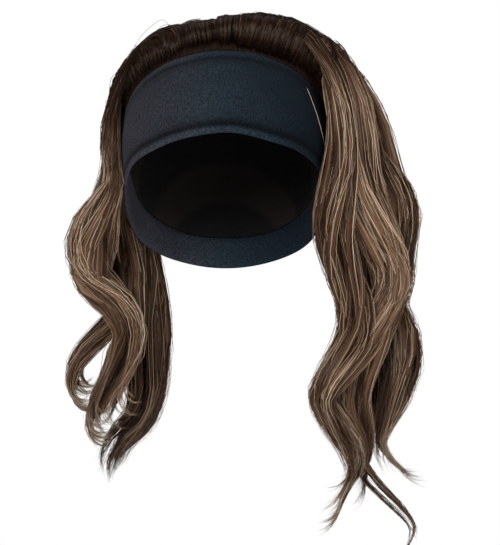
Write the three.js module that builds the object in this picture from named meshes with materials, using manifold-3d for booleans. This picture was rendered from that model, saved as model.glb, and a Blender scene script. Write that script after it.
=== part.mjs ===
// Half wig on a wide stretch headband, in millimetres. +Z is up and the wearer faces -Y,
// so +X is on the right as the wig is seen from the front. "Left" and "right" in names are
// the sides seen from the front. The origin is inside the cap, where the crown of the head touches it.

import * as THREE from 'three';
import { mergeVertices } from 'three/addons/utils/BufferGeometryUtils.js';
import Module from 'manifold-3d';

const wasm = await Module();
wasm.setup();

// Head that the wig is cut for.
const headWidth = 158;
const headLength = 198;
const crownHeight = 88; // crown down to the widest level
const jawReach = 210; // widest level down to where the sides would meet
const napeReach = 135; // the same at the back
const roundness = 2.2; // power of the head's rounded sections; 2 is an ellipse

// Headband, a folded tube of stretch cloth that runs right round the head.
const bandThickness = 3.2;
const bandFrontWidth = 76;
const bandNapeWidth = 26;
const hemWidth = 8;
const hemGroove = 0.7; // depth of the stitched groove beside each hem

// Cap and the gap that neighbouring pieces keep.
const capThickness = 1.5;
const gap = 0.35;

// Hair combed back over the cap: how far it stands off it at the crown and where it is fullest.
const crownLift = 14;
const fullLift = 46;
const fullFrom = 0.3; // share of the way to the rim where it starts to change from one to the other
const ridgeCount = 18;
const ridgeDepth = 2.4;
const ridgeSweep = 50; // degrees that a ridge turns on its way from crown to rim

// Hanging locks. The table of locks holds shares of these.
const hairLength = 400; // crown to the longest tip
const lockWidth = 40;
const lockDepth = 40;
const lockLift = 25; // how far a lock's middle line leaves the head off it
const lockSway = 20; // swing to the side
const lockPush = 20; // swing to the front
const rootRun = 34; // length of a lock that lies in the crown hair before it hangs free

// Mesh fineness.
const turnSteps = 42;
const domeSteps = [0, 0.15, 0.31, 0.47, 0.61, 0.74, 0.84, 0.92, 0.97, 1]; // shares of the way to the rim
const stripSides = 7;

const band = { name: 'headband', colour: 0x23272d, roughness: 0.9 };
const cap = { name: 'cap', colour: 0x14110f, roughness: 0.85 };
const crown = { name: 'crown_hair', colour: 0x2b1b14, roughness: 0.45 };

// Where the middle line of the headband runs. turn: degrees round the head from the front.
// tilt: degrees down from the crown. wide: 1 is the front width, 0 the nape width. The first and last rows
// mirror their neighbours, so that the line runs smoothly through the middle of the front and the nape.
const bandLine = [
  { turn: -30, tilt: 70, wide: 0.97 },
  { turn: 0, tilt: 65, wide: 1 },
  { turn: 30, tilt: 70, wide: 0.97 },
  { turn: 55, tilt: 78.5, wide: 0.9 },
  { turn: 75, tilt: 90, wide: 0.82 },
  { turn: 90, tilt: 101, wide: 0.7 },
  { turn: 105, tilt: 114, wide: 0.42 },
  { turn: 120, tilt: 124, wide: 0.15 },
  { turn: 150, tilt: 132, wide: 0 },
  { turn: 180, tilt: 135, wide: 0 },
  { turn: 210, tilt: 132, wide: 0 },
];

// How far the crown hair stands off the cap round the head, as a share of fullLift.
const crownShape = [
  { turn: -180, lift: 0.5 },
  { turn: -125, lift: 0.52 },
  { turn: -85, lift: 0.47 },
  { turn: -40, lift: 0.26 },
  { turn: 0, lift: 0.34 },
  { turn: 30, lift: 0.42 },
  { turn: 60, lift: 0.66 },
  { turn: 90, lift: 1 },
  { turn: 120, lift: 0.92 },
  { turn: 150, lift: 0.7 },
  { turn: 180, lift: 0.5 },
];

// Locks of hair that hang from the crown. turn and tilt say where a lock's middle line leaves the head.
// lift, length, push, width and depth are shares of the sizes above, and length is the lock's fall.
// Rows run from root to tip. down: share of the fall. side: share of the sway, + to the right. fore: share of
// the lock's push, + towards the front. wide: share of its largest section.
const locks = [
  {
    name: 'right_front_lock', colour: 0x6a4d3a, strips: 3, twist: 200,
    turn: 70, tilt: 62, lift: 0.6, length: 0.795, push: 1.5, width: 0.9, depth: 0.95,
    rows: [
      { down: 0, side: 0, fore: 0, wide: 0.7 },
      { down: 0.1, side: 0.4, fore: 0.45, wide: 0.76 },
      { down: 0.2, side: 0.35, fore: 0.65, wide: 0.86 },
      { down: 0.29, side: 0.1, fore: 0.8, wide: 1 },
      { down: 0.38, side: 0.1, fore: 0.7, wide: 1 },
      { down: 0.46, side: 0.45, fore: 0.5, wide: 0.96 },
      { down: 0.54, side: 0.85, fore: 0.5, wide: 0.86 },
      { down: 0.62, side: 0.8, fore: 0.7, wide: 0.84 },
      { down: 0.7, side: 0.1, fore: 0.95, wide: 0.82 },
      { down: 0.77, side: -0.4, fore: 1, wide: 0.76 },
      { down: 0.83, side: -0.1, fore: 0.85, wide: 0.62 },
      { down: 0.89, side: 0.5, fore: 0.7, wide: 0.54 },
      { down: 0.95, side: 0.75, fore: 0.7, wide: 0.42 },
      { down: 1, side: 0.35, fore: 0.8, wide: 0.1 },
    ],
  },
  {
    name: 'right_middle_lock', colour: 0x5d4433, strips: 3, twist: -180,
    turn: 87, tilt: 66, lift: 1, length: 0.825, push: 1.25, width: 0.95, depth: 1,
    rows: [
      { down: 0, side: 0, fore: 0, wide: 0.7 },
      { down: 0.1, side: 0.42, fore: 0.35, wide: 0.76 },
      { down: 0.2, side: 0.5, fore: 0.5, wide: 0.8 },
      { down: 0.28, side: 0.9, fore: 0.45, wide: 0.96 },
      { down: 0.36, side: 1.35, fore: 0.4, wide: 1 },
      { down: 0.44, side: 1.6, fore: 0.45, wide: 0.92 },
      { down: 0.52, side: 1.4, fore: 0.65, wide: 0.8 },
      { down: 0.6, side: 0.9, fore: 0.9, wide: 0.86 },
      { down: 0.68, side: 0.25, fore: 1.05, wide: 0.9 },
      { down: 0.75, side: 0.05, fore: 1, wide: 0.86 },
      { down: 0.82, side: 0.4, fore: 0.9, wide: 0.72 },
      { down: 0.88, side: 0.45, fore: 0.95, wide: 0.52 },
      { down: 0.94, side: -0.1, fore: 1.1, wide: 0.26 },
      { down: 1, side: -0.45, fore: 1.2, wide: 0.07 },
    ],
    tail: {
      length: 0.89, strips: 1, twist: 0, width: 0.45, depth: 0.375,
      rows: [
        { down: 0.56, side: 0.7, fore: 0.8, wide: 0.7 },
        { down: 0.64, side: 0.3, fore: 0.9, wide: 0.95 },
        { down: 0.72, side: 0, fore: 0.9, wide: 1 },
        { down: 0.79, side: 0.1, fore: 0.9, wide: 0.95 },
        { down: 0.845, side: 0.5, fore: 1, wide: 0.85 },
        { down: 0.89, side: 1.2, fore: 1.1, wide: 0.68 },
        { down: 0.93, side: 2, fore: 1.2, wide: 0.52 },
        { down: 0.965, side: 2.45, fore: 1.1, wide: 0.34 },
        { down: 1, side: 2.3, fore: 1, wide: 0.1 },
      ],
    },
  },
  {
    name: 'right_outer_lock', colour: 0x4c372a, strips: 3, twist: 160,
    turn: 107, tilt: 78, lift: 1.04, length: 0.695, push: 1.5, width: 1.025, depth: 1.25,
    rows: [
      { down: 0, side: 0, fore: 0, wide: 0.6 },
      { down: 0.1, side: 0.55, fore: 0.3, wide: 0.74 },
      { down: 0.2, side: 1.4, fore: 0.6, wide: 0.96 },
      { down: 0.28, side: 1.75, fore: 0.75, wide: 1 },
      { down: 0.36, side: 1.7, fore: 0.8, wide: 0.84 },
      { down: 0.45, side: 1.65, fore: 0.85, wide: 0.8 },
      { down: 0.54, side: 1.5, fore: 0.95, wide: 0.66 },
      { down: 0.62, side: 1.85, fore: 1.1, wide: 0.84 },
      { down: 0.7, side: 1.95, fore: 1.2, wide: 0.86 },
      { down: 0.78, side: 1.65, fore: 1.3, wide: 0.76 },
      { down: 0.86, side: 1.3, fore: 1.4, wide: 0.52 },
      { down: 0.93, side: 1.05, fore: 1.45, wide: 0.3 },
      { down: 1, side: 1.75, fore: 1.5, wide: 0.07 },
    ],
  },
  {
    name: 'right_back_lock', colour: 0x3f2c22, strips: 3, twist: -150,
    turn: 128, tilt: 95, lift: 0.6, length: 0.65, push: 1.5, width: 1.1, depth: 1.35,
    rows: [
      { down: 0, side: 0, fore: 0, wide: 0.8 },
      { down: 0.14, side: 0.55, fore: 0.1, wide: 0.9 },
      { down: 0.28, side: 1, fore: 0.25, wide: 1 },
      { down: 0.42, side: 1.15, fore: 0.5, wide: 0.9 },
      { down: 0.56, side: 1.5, fore: 0.6, wide: 0.86 },
      { down: 0.7, side: 1.85, fore: 0.8, wide: 0.86 },
      { down: 0.84, side: 1.5, fore: 1, wide: 0.6 },
      { down: 1, side: 1.6, fore: 1.1, wide: 0.1 },
    ],
  },
  {
    name: 'left_front_lock', colour: 0x6b4a34, strips: 3, twist: -220,
    turn: -82, tilt: 74, lift: 0.48, length: 0.62, push: 1, width: 1.2, depth: 0.95,
    rows: [
      { down: 0, side: 0, fore: 0, wide: 0.4 },
      { down: 0.11, side: -0.05, fore: 0.3, wide: 0.42 },
      { down: 0.21, side: 0.2, fore: 0.7, wide: 0.36 },
      { down: 0.29, side: -0.17, fore: 0.9, wide: 0.62 },
      { down: 0.37, side: -0.62, fore: 0.8, wide: 0.9 },
      { down: 0.45, side: -0.82, fore: 0.5, wide: 1 },
      { down: 0.53, side: -0.72, fore: 0.2, wide: 0.9 },
      { down: 0.61, side: -0.13, fore: 0.1, wide: 0.78 },
      { down: 0.69, side: 0.35, fore: 0.3, wide: 0.7 },
      { down: 0.77, side: 0.38, fore: 0.7, wide: 0.72 },
      { down: 0.85, side: 0.1, fore: 1, wide: 0.62 },
      { down: 0.91, side: -0.42, fore: 1, wide: 0.44 },
      { down: 0.96, side: -0.75, fore: 0.8, wide: 0.27 },
      { down: 1, side: -0.85, fore: 0.5, wide: 0.08 },
    ],
  },
  {
    name: 'left_outer_lock', colour: 0x573d2d, strips: 2, twist: 180,
    turn: -101, tilt: 78, lift: 0.52, length: 0.555, push: 1, width: 0.9, depth: 1.1,
    rows: [
      { down: 0, side: 0, fore: 0, wide: 0.5 },
      { down: 0.15, side: -0.05, fore: 0, wide: 0.5 },
      { down: 0.3, side: -0.4, fore: -0.1, wide: 0.76 },
      { down: 0.46, side: -0.75, fore: -0.3, wide: 1 },
      { down: 0.6, side: -0.5, fore: -0.4, wide: 0.86 },
      { down: 0.7, side: -0.4, fore: -0.2, wide: 0.7 },
      { down: 0.78, side: -0.85, fore: 0, wide: 0.62 },
      { down: 0.85, side: -1.35, fore: 0.3, wide: 0.54 },
      { down: 0.93, side: -1.6, fore: 0.5, wide: 0.36 },
      { down: 1, side: -1.45, fore: 0.6, wide: 0.08 },
    ],
  },
  {
    name: 'left_inner_lock', colour: 0x4f382a, strips: 2, twist: -160,
    turn: -114, tilt: 86, lift: 0.4, length: 0.54, push: 1, width: 0.85, depth: 1.05,
    rows: [
      { down: 0, side: 0, fore: 0, wide: 0.6 },
      { down: 0.2, side: 0.1, fore: 0.1, wide: 0.7 },
      { down: 0.36, side: 0.2, fore: 0.3, wide: 0.8 },
      { down: 0.5, side: 0.3, fore: 0.6, wide: 0.9 },
      { down: 0.64, side: 0.45, fore: 0.6, wide: 0.95 },
      { down: 0.76, side: 0.35, fore: 0.6, wide: 0.8 },
      { down: 0.88, side: 0.1, fore: 0.8, wide: 0.55 },
      { down: 1, side: -0.2, fore: 1, wide: 0.1 },
    ],
  },
  {
    name: 'left_back_lock', colour: 0x3a281f, strips: 3, twist: 170,
    turn: -131, tilt: 97, lift: 0.4, length: 0.6325, push: 1.5, width: 1, depth: 1.25,
    rows: [
      { down: 0, side: 0, fore: 0, wide: 0.8 },
      { down: 0.18, side: 0.15, fore: 0.1, wide: 0.86 },
      { down: 0.3, side: 0.3, fore: 0.2, wide: 0.86 },
      { down: 0.42, side: 0.6, fore: 0.3, wide: 0.86 },
      { down: 0.53, side: 0.7, fore: 0.4, wide: 0.9 },
      { down: 0.63, side: 0.65, fore: 0.5, wide: 0.95 },
      { down: 0.73, side: 0.5, fore: 0.6, wide: 1 },
      { down: 0.81, side: 0.2, fore: 0.75, wide: 0.98 },
      { down: 0.89, side: -0.5, fore: 0.9, wide: 0.9 },
      { down: 0.95, side: -0.85, fore: 1, wide: 0.7 },
      { down: 1, side: -0.9, fore: 1, wide: 0.24 },
    ],
  },
];

const mix = THREE.MathUtils.lerp;
const radians = THREE.MathUtils.degToRad;

// Smooth value of one column of a table at a place along another column.
function lookUp(rows, key, place, column) {
  const last = rows.length - 1;
  const at = THREE.MathUtils.clamp(place, rows[0][key], rows[last][key]);
  const i = Math.min(last - 1, rows.findLastIndex((row) => row[key] <= at));
  const slope = (a, b) => (rows[b][column] - rows[a][column]) / (rows[b][key] - rows[a][key]);
  const step = rows[i + 1][key] - rows[i][key];
  const startSlope = slope(Math.max(i - 1, 0), i + 1);
  const endSlope = slope(i, Math.min(i + 2, last));
  const t = (at - rows[i][key]) / step;
  const level = rows[i][column] * (1 + 2 * t) * (1 - t) ** 2 + rows[i + 1][column] * t * t * (3 - 2 * t);
  return level + step * (startSlope * t * (1 - t) ** 2 - endSlope * t * t * (1 - t));
}

// Point on the head, or grow outside it. turn and tilt are in radians.
function headPoint(turn, tilt, grow = 0) {
  const atBack = (1 - Math.cos(turn)) / 2;
  const lowReach = mix(jawReach, napeReach, atBack);
  const reach = Math.cos(tilt) > 0 ? crownHeight : lowReach;
  const across = Math.abs(Math.sin(tilt) * Math.sin(turn)) / (headWidth / 2 + grow);
  const along = Math.abs(Math.sin(tilt) * Math.cos(turn)) / (headLength / 2 + grow);
  const upright = Math.abs(Math.cos(tilt)) / (reach + grow);
  const radius = (across ** roundness + along ** roundness + upright ** roundness) ** (-1 / roundness);
  return new THREE.Vector3(
    radius * Math.sin(tilt) * Math.sin(turn),
    -radius * Math.sin(tilt) * Math.cos(turn),
    radius * Math.cos(tilt) - crownHeight,
  );
}

// Tilt, in radians, of a line that runs along the headband: -1 is its front edge, +1 its rear edge,
// and beyond clears it by margin millimetres.
function bandTilt(turn, across, beyond = 0) {
  const place = Math.abs(THREE.MathUtils.radToDeg(turn));
  const middle = radians(lookUp(bandLine, 'turn', place, 'tilt'));
  const halfWidth = mix(bandNapeWidth, bandFrontWidth, lookUp(bandLine, 'turn', place, 'wide')) / 2;
  const radius = headPoint(turn, middle).distanceTo(new THREE.Vector3(0, 0, -crownHeight));
  return middle - (across * halfWidth + beyond) / radius;
}

// Closed solid from a three.js geometry whose vertices are moved by a function.
function solidOf(geometry, move) {
  const place = geometry.attributes.position;
  for (let i = 0; i < place.count; i += 1) {
    const to = move(new THREE.Vector3().fromBufferAttribute(place, i));
    place.setXYZ(i, to.x, to.y, to.z);
  }
  geometry.deleteAttribute('normal');
  geometry.deleteAttribute('uv');
  const merged = mergeVertices(geometry, 1e-3);
  const vertices = merged.attributes.position;
  const corners = Array.from({ length: 3 }, () => new THREE.Vector3());
  const faces = [];
  let volume = 0;
  for (let i = 0; i < merged.index.count; i += 3) {
    const face = [0, 1, 2].map((k) => merged.index.getX(i + k));
    if (new Set(face).size < 3) continue;
    face.forEach((vertex, k) => corners[k].fromBufferAttribute(vertices, vertex));
    volume += corners[0].dot(corners[1].clone().cross(corners[2]));
    faces.push(face);
  }
  const triVerts = Uint32Array.from((volume < 0 ? faces.map(([a, b, c]) => [a, c, b]) : faces).flat());
  return new wasm.Manifold(new wasm.Mesh({ numProp: 3, vertProperties: vertices.array, triVerts }));
}

function meshOf(solid, { name, colour, roughness }) {
  const { vertProperties, triVerts } = solid.getMesh();
  const geometry = new THREE.BufferGeometry();
  geometry.setAttribute('position', new THREE.BufferAttribute(vertProperties, 3));
  geometry.setIndex(new THREE.BufferAttribute(triVerts, 1));
  geometry.computeVertexNormals();
  const material = new THREE.MeshStandardMaterial({ color: colour, roughness, metalness: 0 });
  const mesh = new THREE.Mesh(geometry, material);
  mesh.name = name;
  return mesh;
}

// Largest of the bodies that a cut leaves, without the slivers.
function mainBody(solid) {
  return solid.decompose().reduce((best, body) => (body.volume() > best.volume() ? body : best));
}

// Ring lathed round the head's axis. The profile's x is 1 at the ring's inner edge to 2 at its
// outer one, and its y is the layer; place(turn, along, layer) says where such a point goes.
function ringSolid(profile, place) {
  const points = [...profile, profile[0]].map(([along, layer]) => new THREE.Vector2(1 + along, layer));
  return solidOf(new THREE.LatheGeometry(points, turnSteps), ({ x, y, z }) =>
    place(Math.atan2(x, z), Math.hypot(x, z) - 1, y));
}

// Dome lathed round the head's axis, from the crown (along 0) to its rim (along 1) and back inside,
// or straight back to the axis if it is filled.
function domeSolid(filled, place) {
  const outer = domeSteps.map((along) => new THREE.Vector2(along, 1));
  const inner = domeSteps.toReversed().map((along) => new THREE.Vector2(along, 0));
  const points = [...outer, ...(filled ? inner.slice(-1) : inner)];
  return solidOf(new THREE.LatheGeometry(points, turnSteps), ({ x, y, z }) =>
    place(Math.atan2(x, z), Math.hypot(x, z), y));
}

// Headband with a hem along each edge. extra grows it on every side, to cut its neighbours.
function bandSolid(extra = 0) {
  const hem = (2 * hemWidth) / bandFrontWidth;
  const groove = 1 - hemGroove / bandThickness;
  const profile = [
    [-1, 0.5], [-1 + hem * 0.3, 1], [-1 + hem * 0.75, 1], [-1 + hem, groove], [-1 + hem * 1.5, 1],
    [-0.3, 1], [0.3, 1],
    [1 - hem * 1.5, 1], [1 - hem, groove], [1 - hem * 0.75, 1], [1 - hem * 0.3, 1], [1, 0.5],
    [1 - hem * 0.3, 0], [0.3, 0], [-0.3, 0], [-1 + hem * 0.3, 0],
  ].map(([across, layer]) => [(across + 1) / 2, layer]);
  return ringSolid(profile, (turn, along, layer) => {
    const across = 2 * along - 1;
    const grow = mix(-extra, bandThickness + extra, layer);
    return headPoint(turn, bandTilt(turn, across, across * extra), grow);
  });
}

// Cap that lies on the head inside the headband's rear edge. extra grows its outer face.
function capSolid(extra = 0) {
  return domeSolid(false, (turn, along, layer) =>
    headPoint(turn, along * bandTilt(turn, 1, gap - extra), layer * (capThickness + extra)));
}

// Everything inside the outer face of the headband, grown by the gap, to keep the hanging locks outside.
function headSolid() {
  return domeSolid(true, (turn, along, layer) =>
    layer
      ? headPoint(turn, along * bandTilt(turn, -1, gap), bandThickness + gap)
      : new THREE.Vector3(0, headLength * 0.1, -1.7 * crownHeight));
}

// Height of the crown hair over the cap, with combed ridges, rounding down to the cap at its rim.
function hairHeight(turn, along) {
  const place = THREE.MathUtils.radToDeg(turn);
  const spread = THREE.MathUtils.smoothstep(along, fullFrom, 1);
  const height = mix(crownLift, fullLift * lookUp(crownShape, 'turn', place, 'lift'), spread);
  const wave = Math.cos(ridgeCount * (turn + radians(ridgeSweep) * along));
  const lipStart = 0.8;
  const lip = Math.sqrt(Math.max(0, 1 - (Math.max(0, along - lipStart) / (1 - lipStart)) ** 2));
  return (height - ridgeDepth * spread * (0.5 - 0.5 * wave)) * mix(0.12, 1, lip);
}

// Hair over the cap, combed back from the headband. extra grows its outer face.
function crownSolid(extra = 0) {
  return domeSolid(false, (turn, along, layer) => {
    const lift = layer ? capThickness + gap + hairHeight(turn, along) + extra : capThickness / 2;
    return headPoint(turn, along * bandTilt(turn, 1, gap - extra), lift);
  });
}

// Middle line and half size of a lock, at a share of its fall. Below zero it lies along the head.
function lockSection(lock, down) {
  const column = (name, at = down) => lookUp(lock.rows, 'down', at, name);
  const fall = lock.length * hairLength;
  const middle = (at) => {
    const above = Math.min(0, at) * fall;
    const tilt = radians(lock.tilt) + above / (headWidth / 2);
    const lift = capThickness + lock.lift * lockLift * (1 + above / (2 * rootRun));
    const root = headPoint(radians(lock.turn), tilt, lift);
    return new THREE.Vector3(
      root.x + lockSway * column('side', at),
      root.y - lock.push * lockPush * column('fore', at),
      root.z - fall * Math.max(0, at),
    );
  };
  const near = 0.004;
  const along = middle(down + near).sub(middle(down - near)).normalize();
  const sideways = new THREE.Vector3(0, -1, 0).cross(along).normalize();
  const forward = along.clone().cross(sideways);
  return { middle: middle(down), sideways, forward, wide: column('wide') };
}

// One strip of a lock: a tapering tube that winds round the lock's middle line.
function stripSolid(lock, index, extra) {
  const alone = lock.strips === 1;
  const share = alone ? 1 : 0.68;
  const offset = alone ? 0 : 0.34;
  const start = lock.rows[0].down || -rootRun / (lock.length * hairLength);
  const shorter = 1 - 0.035 * index;
  const steps = Math.round(1.55 * lock.rows.length * shorter);
  return solidOf(new THREE.CylinderGeometry(1, 1, 1, stripSides, steps), ({ x, y, z }) => {
    const down = mix(start, shorter, 0.5 - y);
    const { middle, sideways, forward, wide } = lockSection(lock, Math.min(down, 0.996));
    const turned = radians(lock.twist * down + (360 * index) / lock.strips);
    const thin = down > shorter - 0.06 ? Math.sqrt((shorter - down) / 0.06 + 0.02) : 1;
    const halfWidth = ((lock.width * lockWidth) / 2) * wide;
    const halfDepth = ((lock.depth * lockDepth) / 2) * wide;
    const u = halfWidth * (offset * Math.cos(turned) + share * thin * x) + extra * x;
    const v = halfDepth * (offset * Math.sin(turned) + share * thin * z) + extra * z;
    return middle.addScaledVector(sideways, u).addScaledVector(forward, v);
  });
}

function lockSolid(lock, extra = 0) {
  const strips = Array.from({ length: lock.strips }, (_, index) => stripSolid(lock, index, extra));
  const main = strips.reduce((sum, strip) => sum.add(strip));
  return lock.tail ? main.add(lockSolid({ ...lock, ...lock.tail, tail: null }, extra)) : main;
}

const wig = new THREE.Group();
wig.add(meshOf(bandSolid(), band));
wig.add(meshOf(capSolid(), cap));
const crownCut = crownSolid().subtract(capSolid(gap).add(bandSolid(gap)));
wig.add(meshOf(mainBody(crownCut), crown));

let taken = headSolid().add(bandSolid(gap)).add(crownSolid(gap));
for (const lock of locks) {
  wig.add(meshOf(mainBody(lockSolid(lock).subtract(taken)), { ...lock, roughness: 0.42 }));
  taken = taken.add(lockSolid(lock, gap));
}

export default wig;
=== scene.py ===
"""Half wig of long wavy hair on a wide stretch headband, dressed for rendering.

Metres, +Z up, the front faces -Y. "Left" and "right" are the sides seen from the front.
"""

import logging
import math
from dataclasses import dataclass, field
from enum import Enum
from typing import Callable, Sequence

import bmesh
import bpy
import numpy as np
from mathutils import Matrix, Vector


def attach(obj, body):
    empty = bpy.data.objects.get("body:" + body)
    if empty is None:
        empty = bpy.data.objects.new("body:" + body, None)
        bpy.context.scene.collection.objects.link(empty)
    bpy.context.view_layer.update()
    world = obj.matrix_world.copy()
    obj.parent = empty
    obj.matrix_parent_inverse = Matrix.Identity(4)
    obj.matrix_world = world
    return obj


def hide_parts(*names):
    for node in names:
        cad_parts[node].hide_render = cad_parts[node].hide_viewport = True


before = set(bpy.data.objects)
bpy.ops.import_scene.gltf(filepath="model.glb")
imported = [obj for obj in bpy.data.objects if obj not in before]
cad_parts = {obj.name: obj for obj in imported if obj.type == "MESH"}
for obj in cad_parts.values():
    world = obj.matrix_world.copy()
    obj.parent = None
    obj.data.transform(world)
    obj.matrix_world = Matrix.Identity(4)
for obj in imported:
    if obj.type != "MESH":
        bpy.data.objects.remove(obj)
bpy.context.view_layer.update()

MM = 0.001
CAP_WALL = 1.5 * MM
BAND_WALL = 3.2 * MM
GAP = 0.35 * MM
UV_MAP = "OFBake"
TONE = "strand_tone"
FIBRE_TINT = (1.0, 0.84, 0.68, 1)
# Sockets of a colour mix: the two colours that go in, and the one that comes out.
MIX_FIRST = 6
MIX_SECOND = 7
MIX_RESULT = 2
log = logging.getLogger("half_wig")


class Slot(Enum):
    """Material slots of the record."""

    BAND = "band_cloth"
    CAP = "cap_net"
    HAIR = "hair"


@dataclass(frozen=True)
class Column:
    """One column of a table: smooth values along another column."""

    places: tuple[float, ...]
    values: tuple[float, ...]

    def at(self, place: np.ndarray | float) -> np.ndarray:
        """Smooth value at each place.

        Args:
            place: where along the table to read, held to its ends.

        Returns:
            The values, in the shape of place.
        """
        x = np.array(self.places)
        y = np.array(self.values)
        last = len(x) - 1
        p = np.clip(place, x[0], x[-1])
        i = np.clip(np.searchsorted(x, p, side="right") - 1, 0, last - 1)
        before = np.maximum(i - 1, 0)
        after = np.minimum(i + 2, last)
        step = x[i + 1] - x[i]
        slope_in = (y[i + 1] - y[before]) / (x[i + 1] - x[before])
        slope_out = (y[after] - y[i]) / (x[after] - x[i])
        t = (p - x[i]) / step
        level = y[i] * (1 + 2 * t) * (1 - t) ** 2 + y[i + 1] * t * t * (3 - 2 * t)
        return level + step * (slope_in * t * (1 - t) ** 2 - slope_out * t * t * (1 - t))


def smooth(t: np.ndarray | float, low: float = 0.0, high: float = 1.0) -> np.ndarray:
    """Smooth step from 0 at low to 1 at high."""
    s = np.clip((np.asarray(t, dtype=float) - low) / (high - low), 0, 1)
    return s * s * (3 - 2 * s)


def unit(v: np.ndarray) -> np.ndarray:
    """Vectors of length one along the last axis."""
    return v / np.maximum(np.linalg.norm(v, axis=-1, keepdims=True), 1e-12)


@dataclass(frozen=True)
class HeadForm:
    """Head that the wig is cut for, in metres. Turn and tilt are in degrees."""

    width: float = 158 * MM
    length: float = 198 * MM
    crown_height: float = 88 * MM
    jaw_reach: float = 210 * MM
    nape_reach: float = 135 * MM
    roundness: float = 2.2

    def point(self, turn: np.ndarray, tilt: np.ndarray, grow: np.ndarray | float = 0.0) -> np.ndarray:
        """Points on the head or outside it.

        Args:
            turn: degrees round the head from the front, + to the right.
            tilt: degrees down from the crown.
            grow: metres outside the head.

        Returns:
            Points, with the coordinates along the last axis.
        """
        turn, tilt, grow = np.broadcast_arrays(np.radians(turn), np.radians(tilt), grow)
        at_back = (1 - np.cos(turn)) / 2
        low_reach = self.jaw_reach + (self.nape_reach - self.jaw_reach) * at_back
        reach = np.where(np.cos(tilt) > 0, self.crown_height, low_reach)
        across = np.abs(np.sin(tilt) * np.sin(turn)) / (self.width / 2 + grow)
        along = np.abs(np.sin(tilt) * np.cos(turn)) / (self.length / 2 + grow)
        upright = np.abs(np.cos(tilt)) / (reach + grow)
        p = self.roundness
        radius = (across**p + along**p + upright**p) ** (-1 / p)
        return np.stack(
            [
                radius * np.sin(tilt) * np.sin(turn),
                -radius * np.sin(tilt) * np.cos(turn),
                radius * np.cos(tilt) - self.crown_height,
            ],
            axis=-1,
        )

    def heading(self, turn: np.ndarray, tilt: np.ndarray) -> np.ndarray:
        """Directions from the middle of the head, of length one."""
        turn, tilt = np.broadcast_arrays(np.radians(turn), np.radians(tilt))
        return np.stack(
            [np.sin(tilt) * np.sin(turn), -np.sin(tilt) * np.cos(turn), np.cos(tilt)], axis=-1
        )

    def aim(self, heading: np.ndarray) -> tuple[np.ndarray, np.ndarray]:
        """Turn and tilt of each direction, in degrees."""
        flat = np.hypot(heading[..., 0], heading[..., 1])
        turn = np.degrees(np.arctan2(heading[..., 0], -heading[..., 1]))
        return turn, np.degrees(np.arctan2(flat, heading[..., 2]))

    def centre(self) -> np.ndarray:
        """Middle of the head."""
        return np.array([0.0, 0.0, -self.crown_height])


@dataclass(frozen=True)
class BandLine:
    """Where the headband runs round the head."""

    head: HeadForm
    front_width: float = 76 * MM
    nape_width: float = 26 * MM
    turns: tuple[float, ...] = (-30, 0, 30, 55, 75, 90, 105, 120, 150, 180, 210)
    tilts: tuple[float, ...] = (70, 65, 70, 78.5, 90, 101, 114, 124, 132, 135, 132)
    wides: tuple[float, ...] = (0.97, 1, 0.97, 0.9, 0.82, 0.7, 0.42, 0.15, 0, 0, 0)
    clearance: float = 0.5 * MM
    fade: float = 14  # degrees past the front edge where hair is no longer kept off the cloth

    def tilt(self, turn: np.ndarray, across: np.ndarray, beyond: float = 0.0) -> np.ndarray:
        """Tilt of a line along the headband.

        Args:
            turn: degrees round the head from the front.
            across: -1 at the front edge to +1 at the rear edge.
            beyond: metres past that line, towards the crown.

        Returns:
            Degrees down from the crown.
        """
        place = np.abs(turn)
        middle = Column(self.turns, self.tilts).at(place)
        wide = Column(self.turns, self.wides).at(place)
        half = (self.nape_width + (self.front_width - self.nape_width) * wide) / 2
        radius = np.linalg.norm(self.head.point(turn, middle) - self.head.centre(), axis=-1)
        return middle - np.degrees((across * half + beyond) / radius)

    def rear(self, turn: np.ndarray, beyond: float = 0.0) -> np.ndarray:
        """Tilt of the rear edge, in degrees."""
        return self.tilt(turn, 1.0, beyond)

    def direction(self, turn: np.ndarray) -> np.ndarray:
        """Directions along the rear edge, of length one."""
        after = self.head.heading(turn + 1, self.rear(turn + 1))
        return unit(after - self.head.heading(turn - 1, self.rear(turn - 1)))

    def cleared(self, points: np.ndarray, margin: np.ndarray | float = 0.0) -> np.ndarray:
        """Moves points out of the cap and the headband.

        Args:
            points: points, with the coordinates along the last axis.
            margin: metres that they keep off the cloth besides.

        Returns:
            The points, moved straight away from the middle of the head where they were inside.
        """
        out = points - self.head.centre()
        away = np.maximum(np.linalg.norm(out, axis=-1), 1e-9)
        turn, tilt = self.head.aim(out / away[..., None])
        front = self.tilt(turn, -1.0)
        over = np.where(tilt < self.rear(turn), CAP_WALL, BAND_WALL) + self.clearance + margin
        least = np.linalg.norm(self.head.point(turn, tilt, over) - self.head.centre(), axis=-1)
        push = np.maximum(0.0, least / away - 1) * (1 - smooth((tilt - front) / self.fade))
        return points + push[..., None] * out


HEAD = HeadForm()
BAND = BandLine(HEAD)


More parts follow.
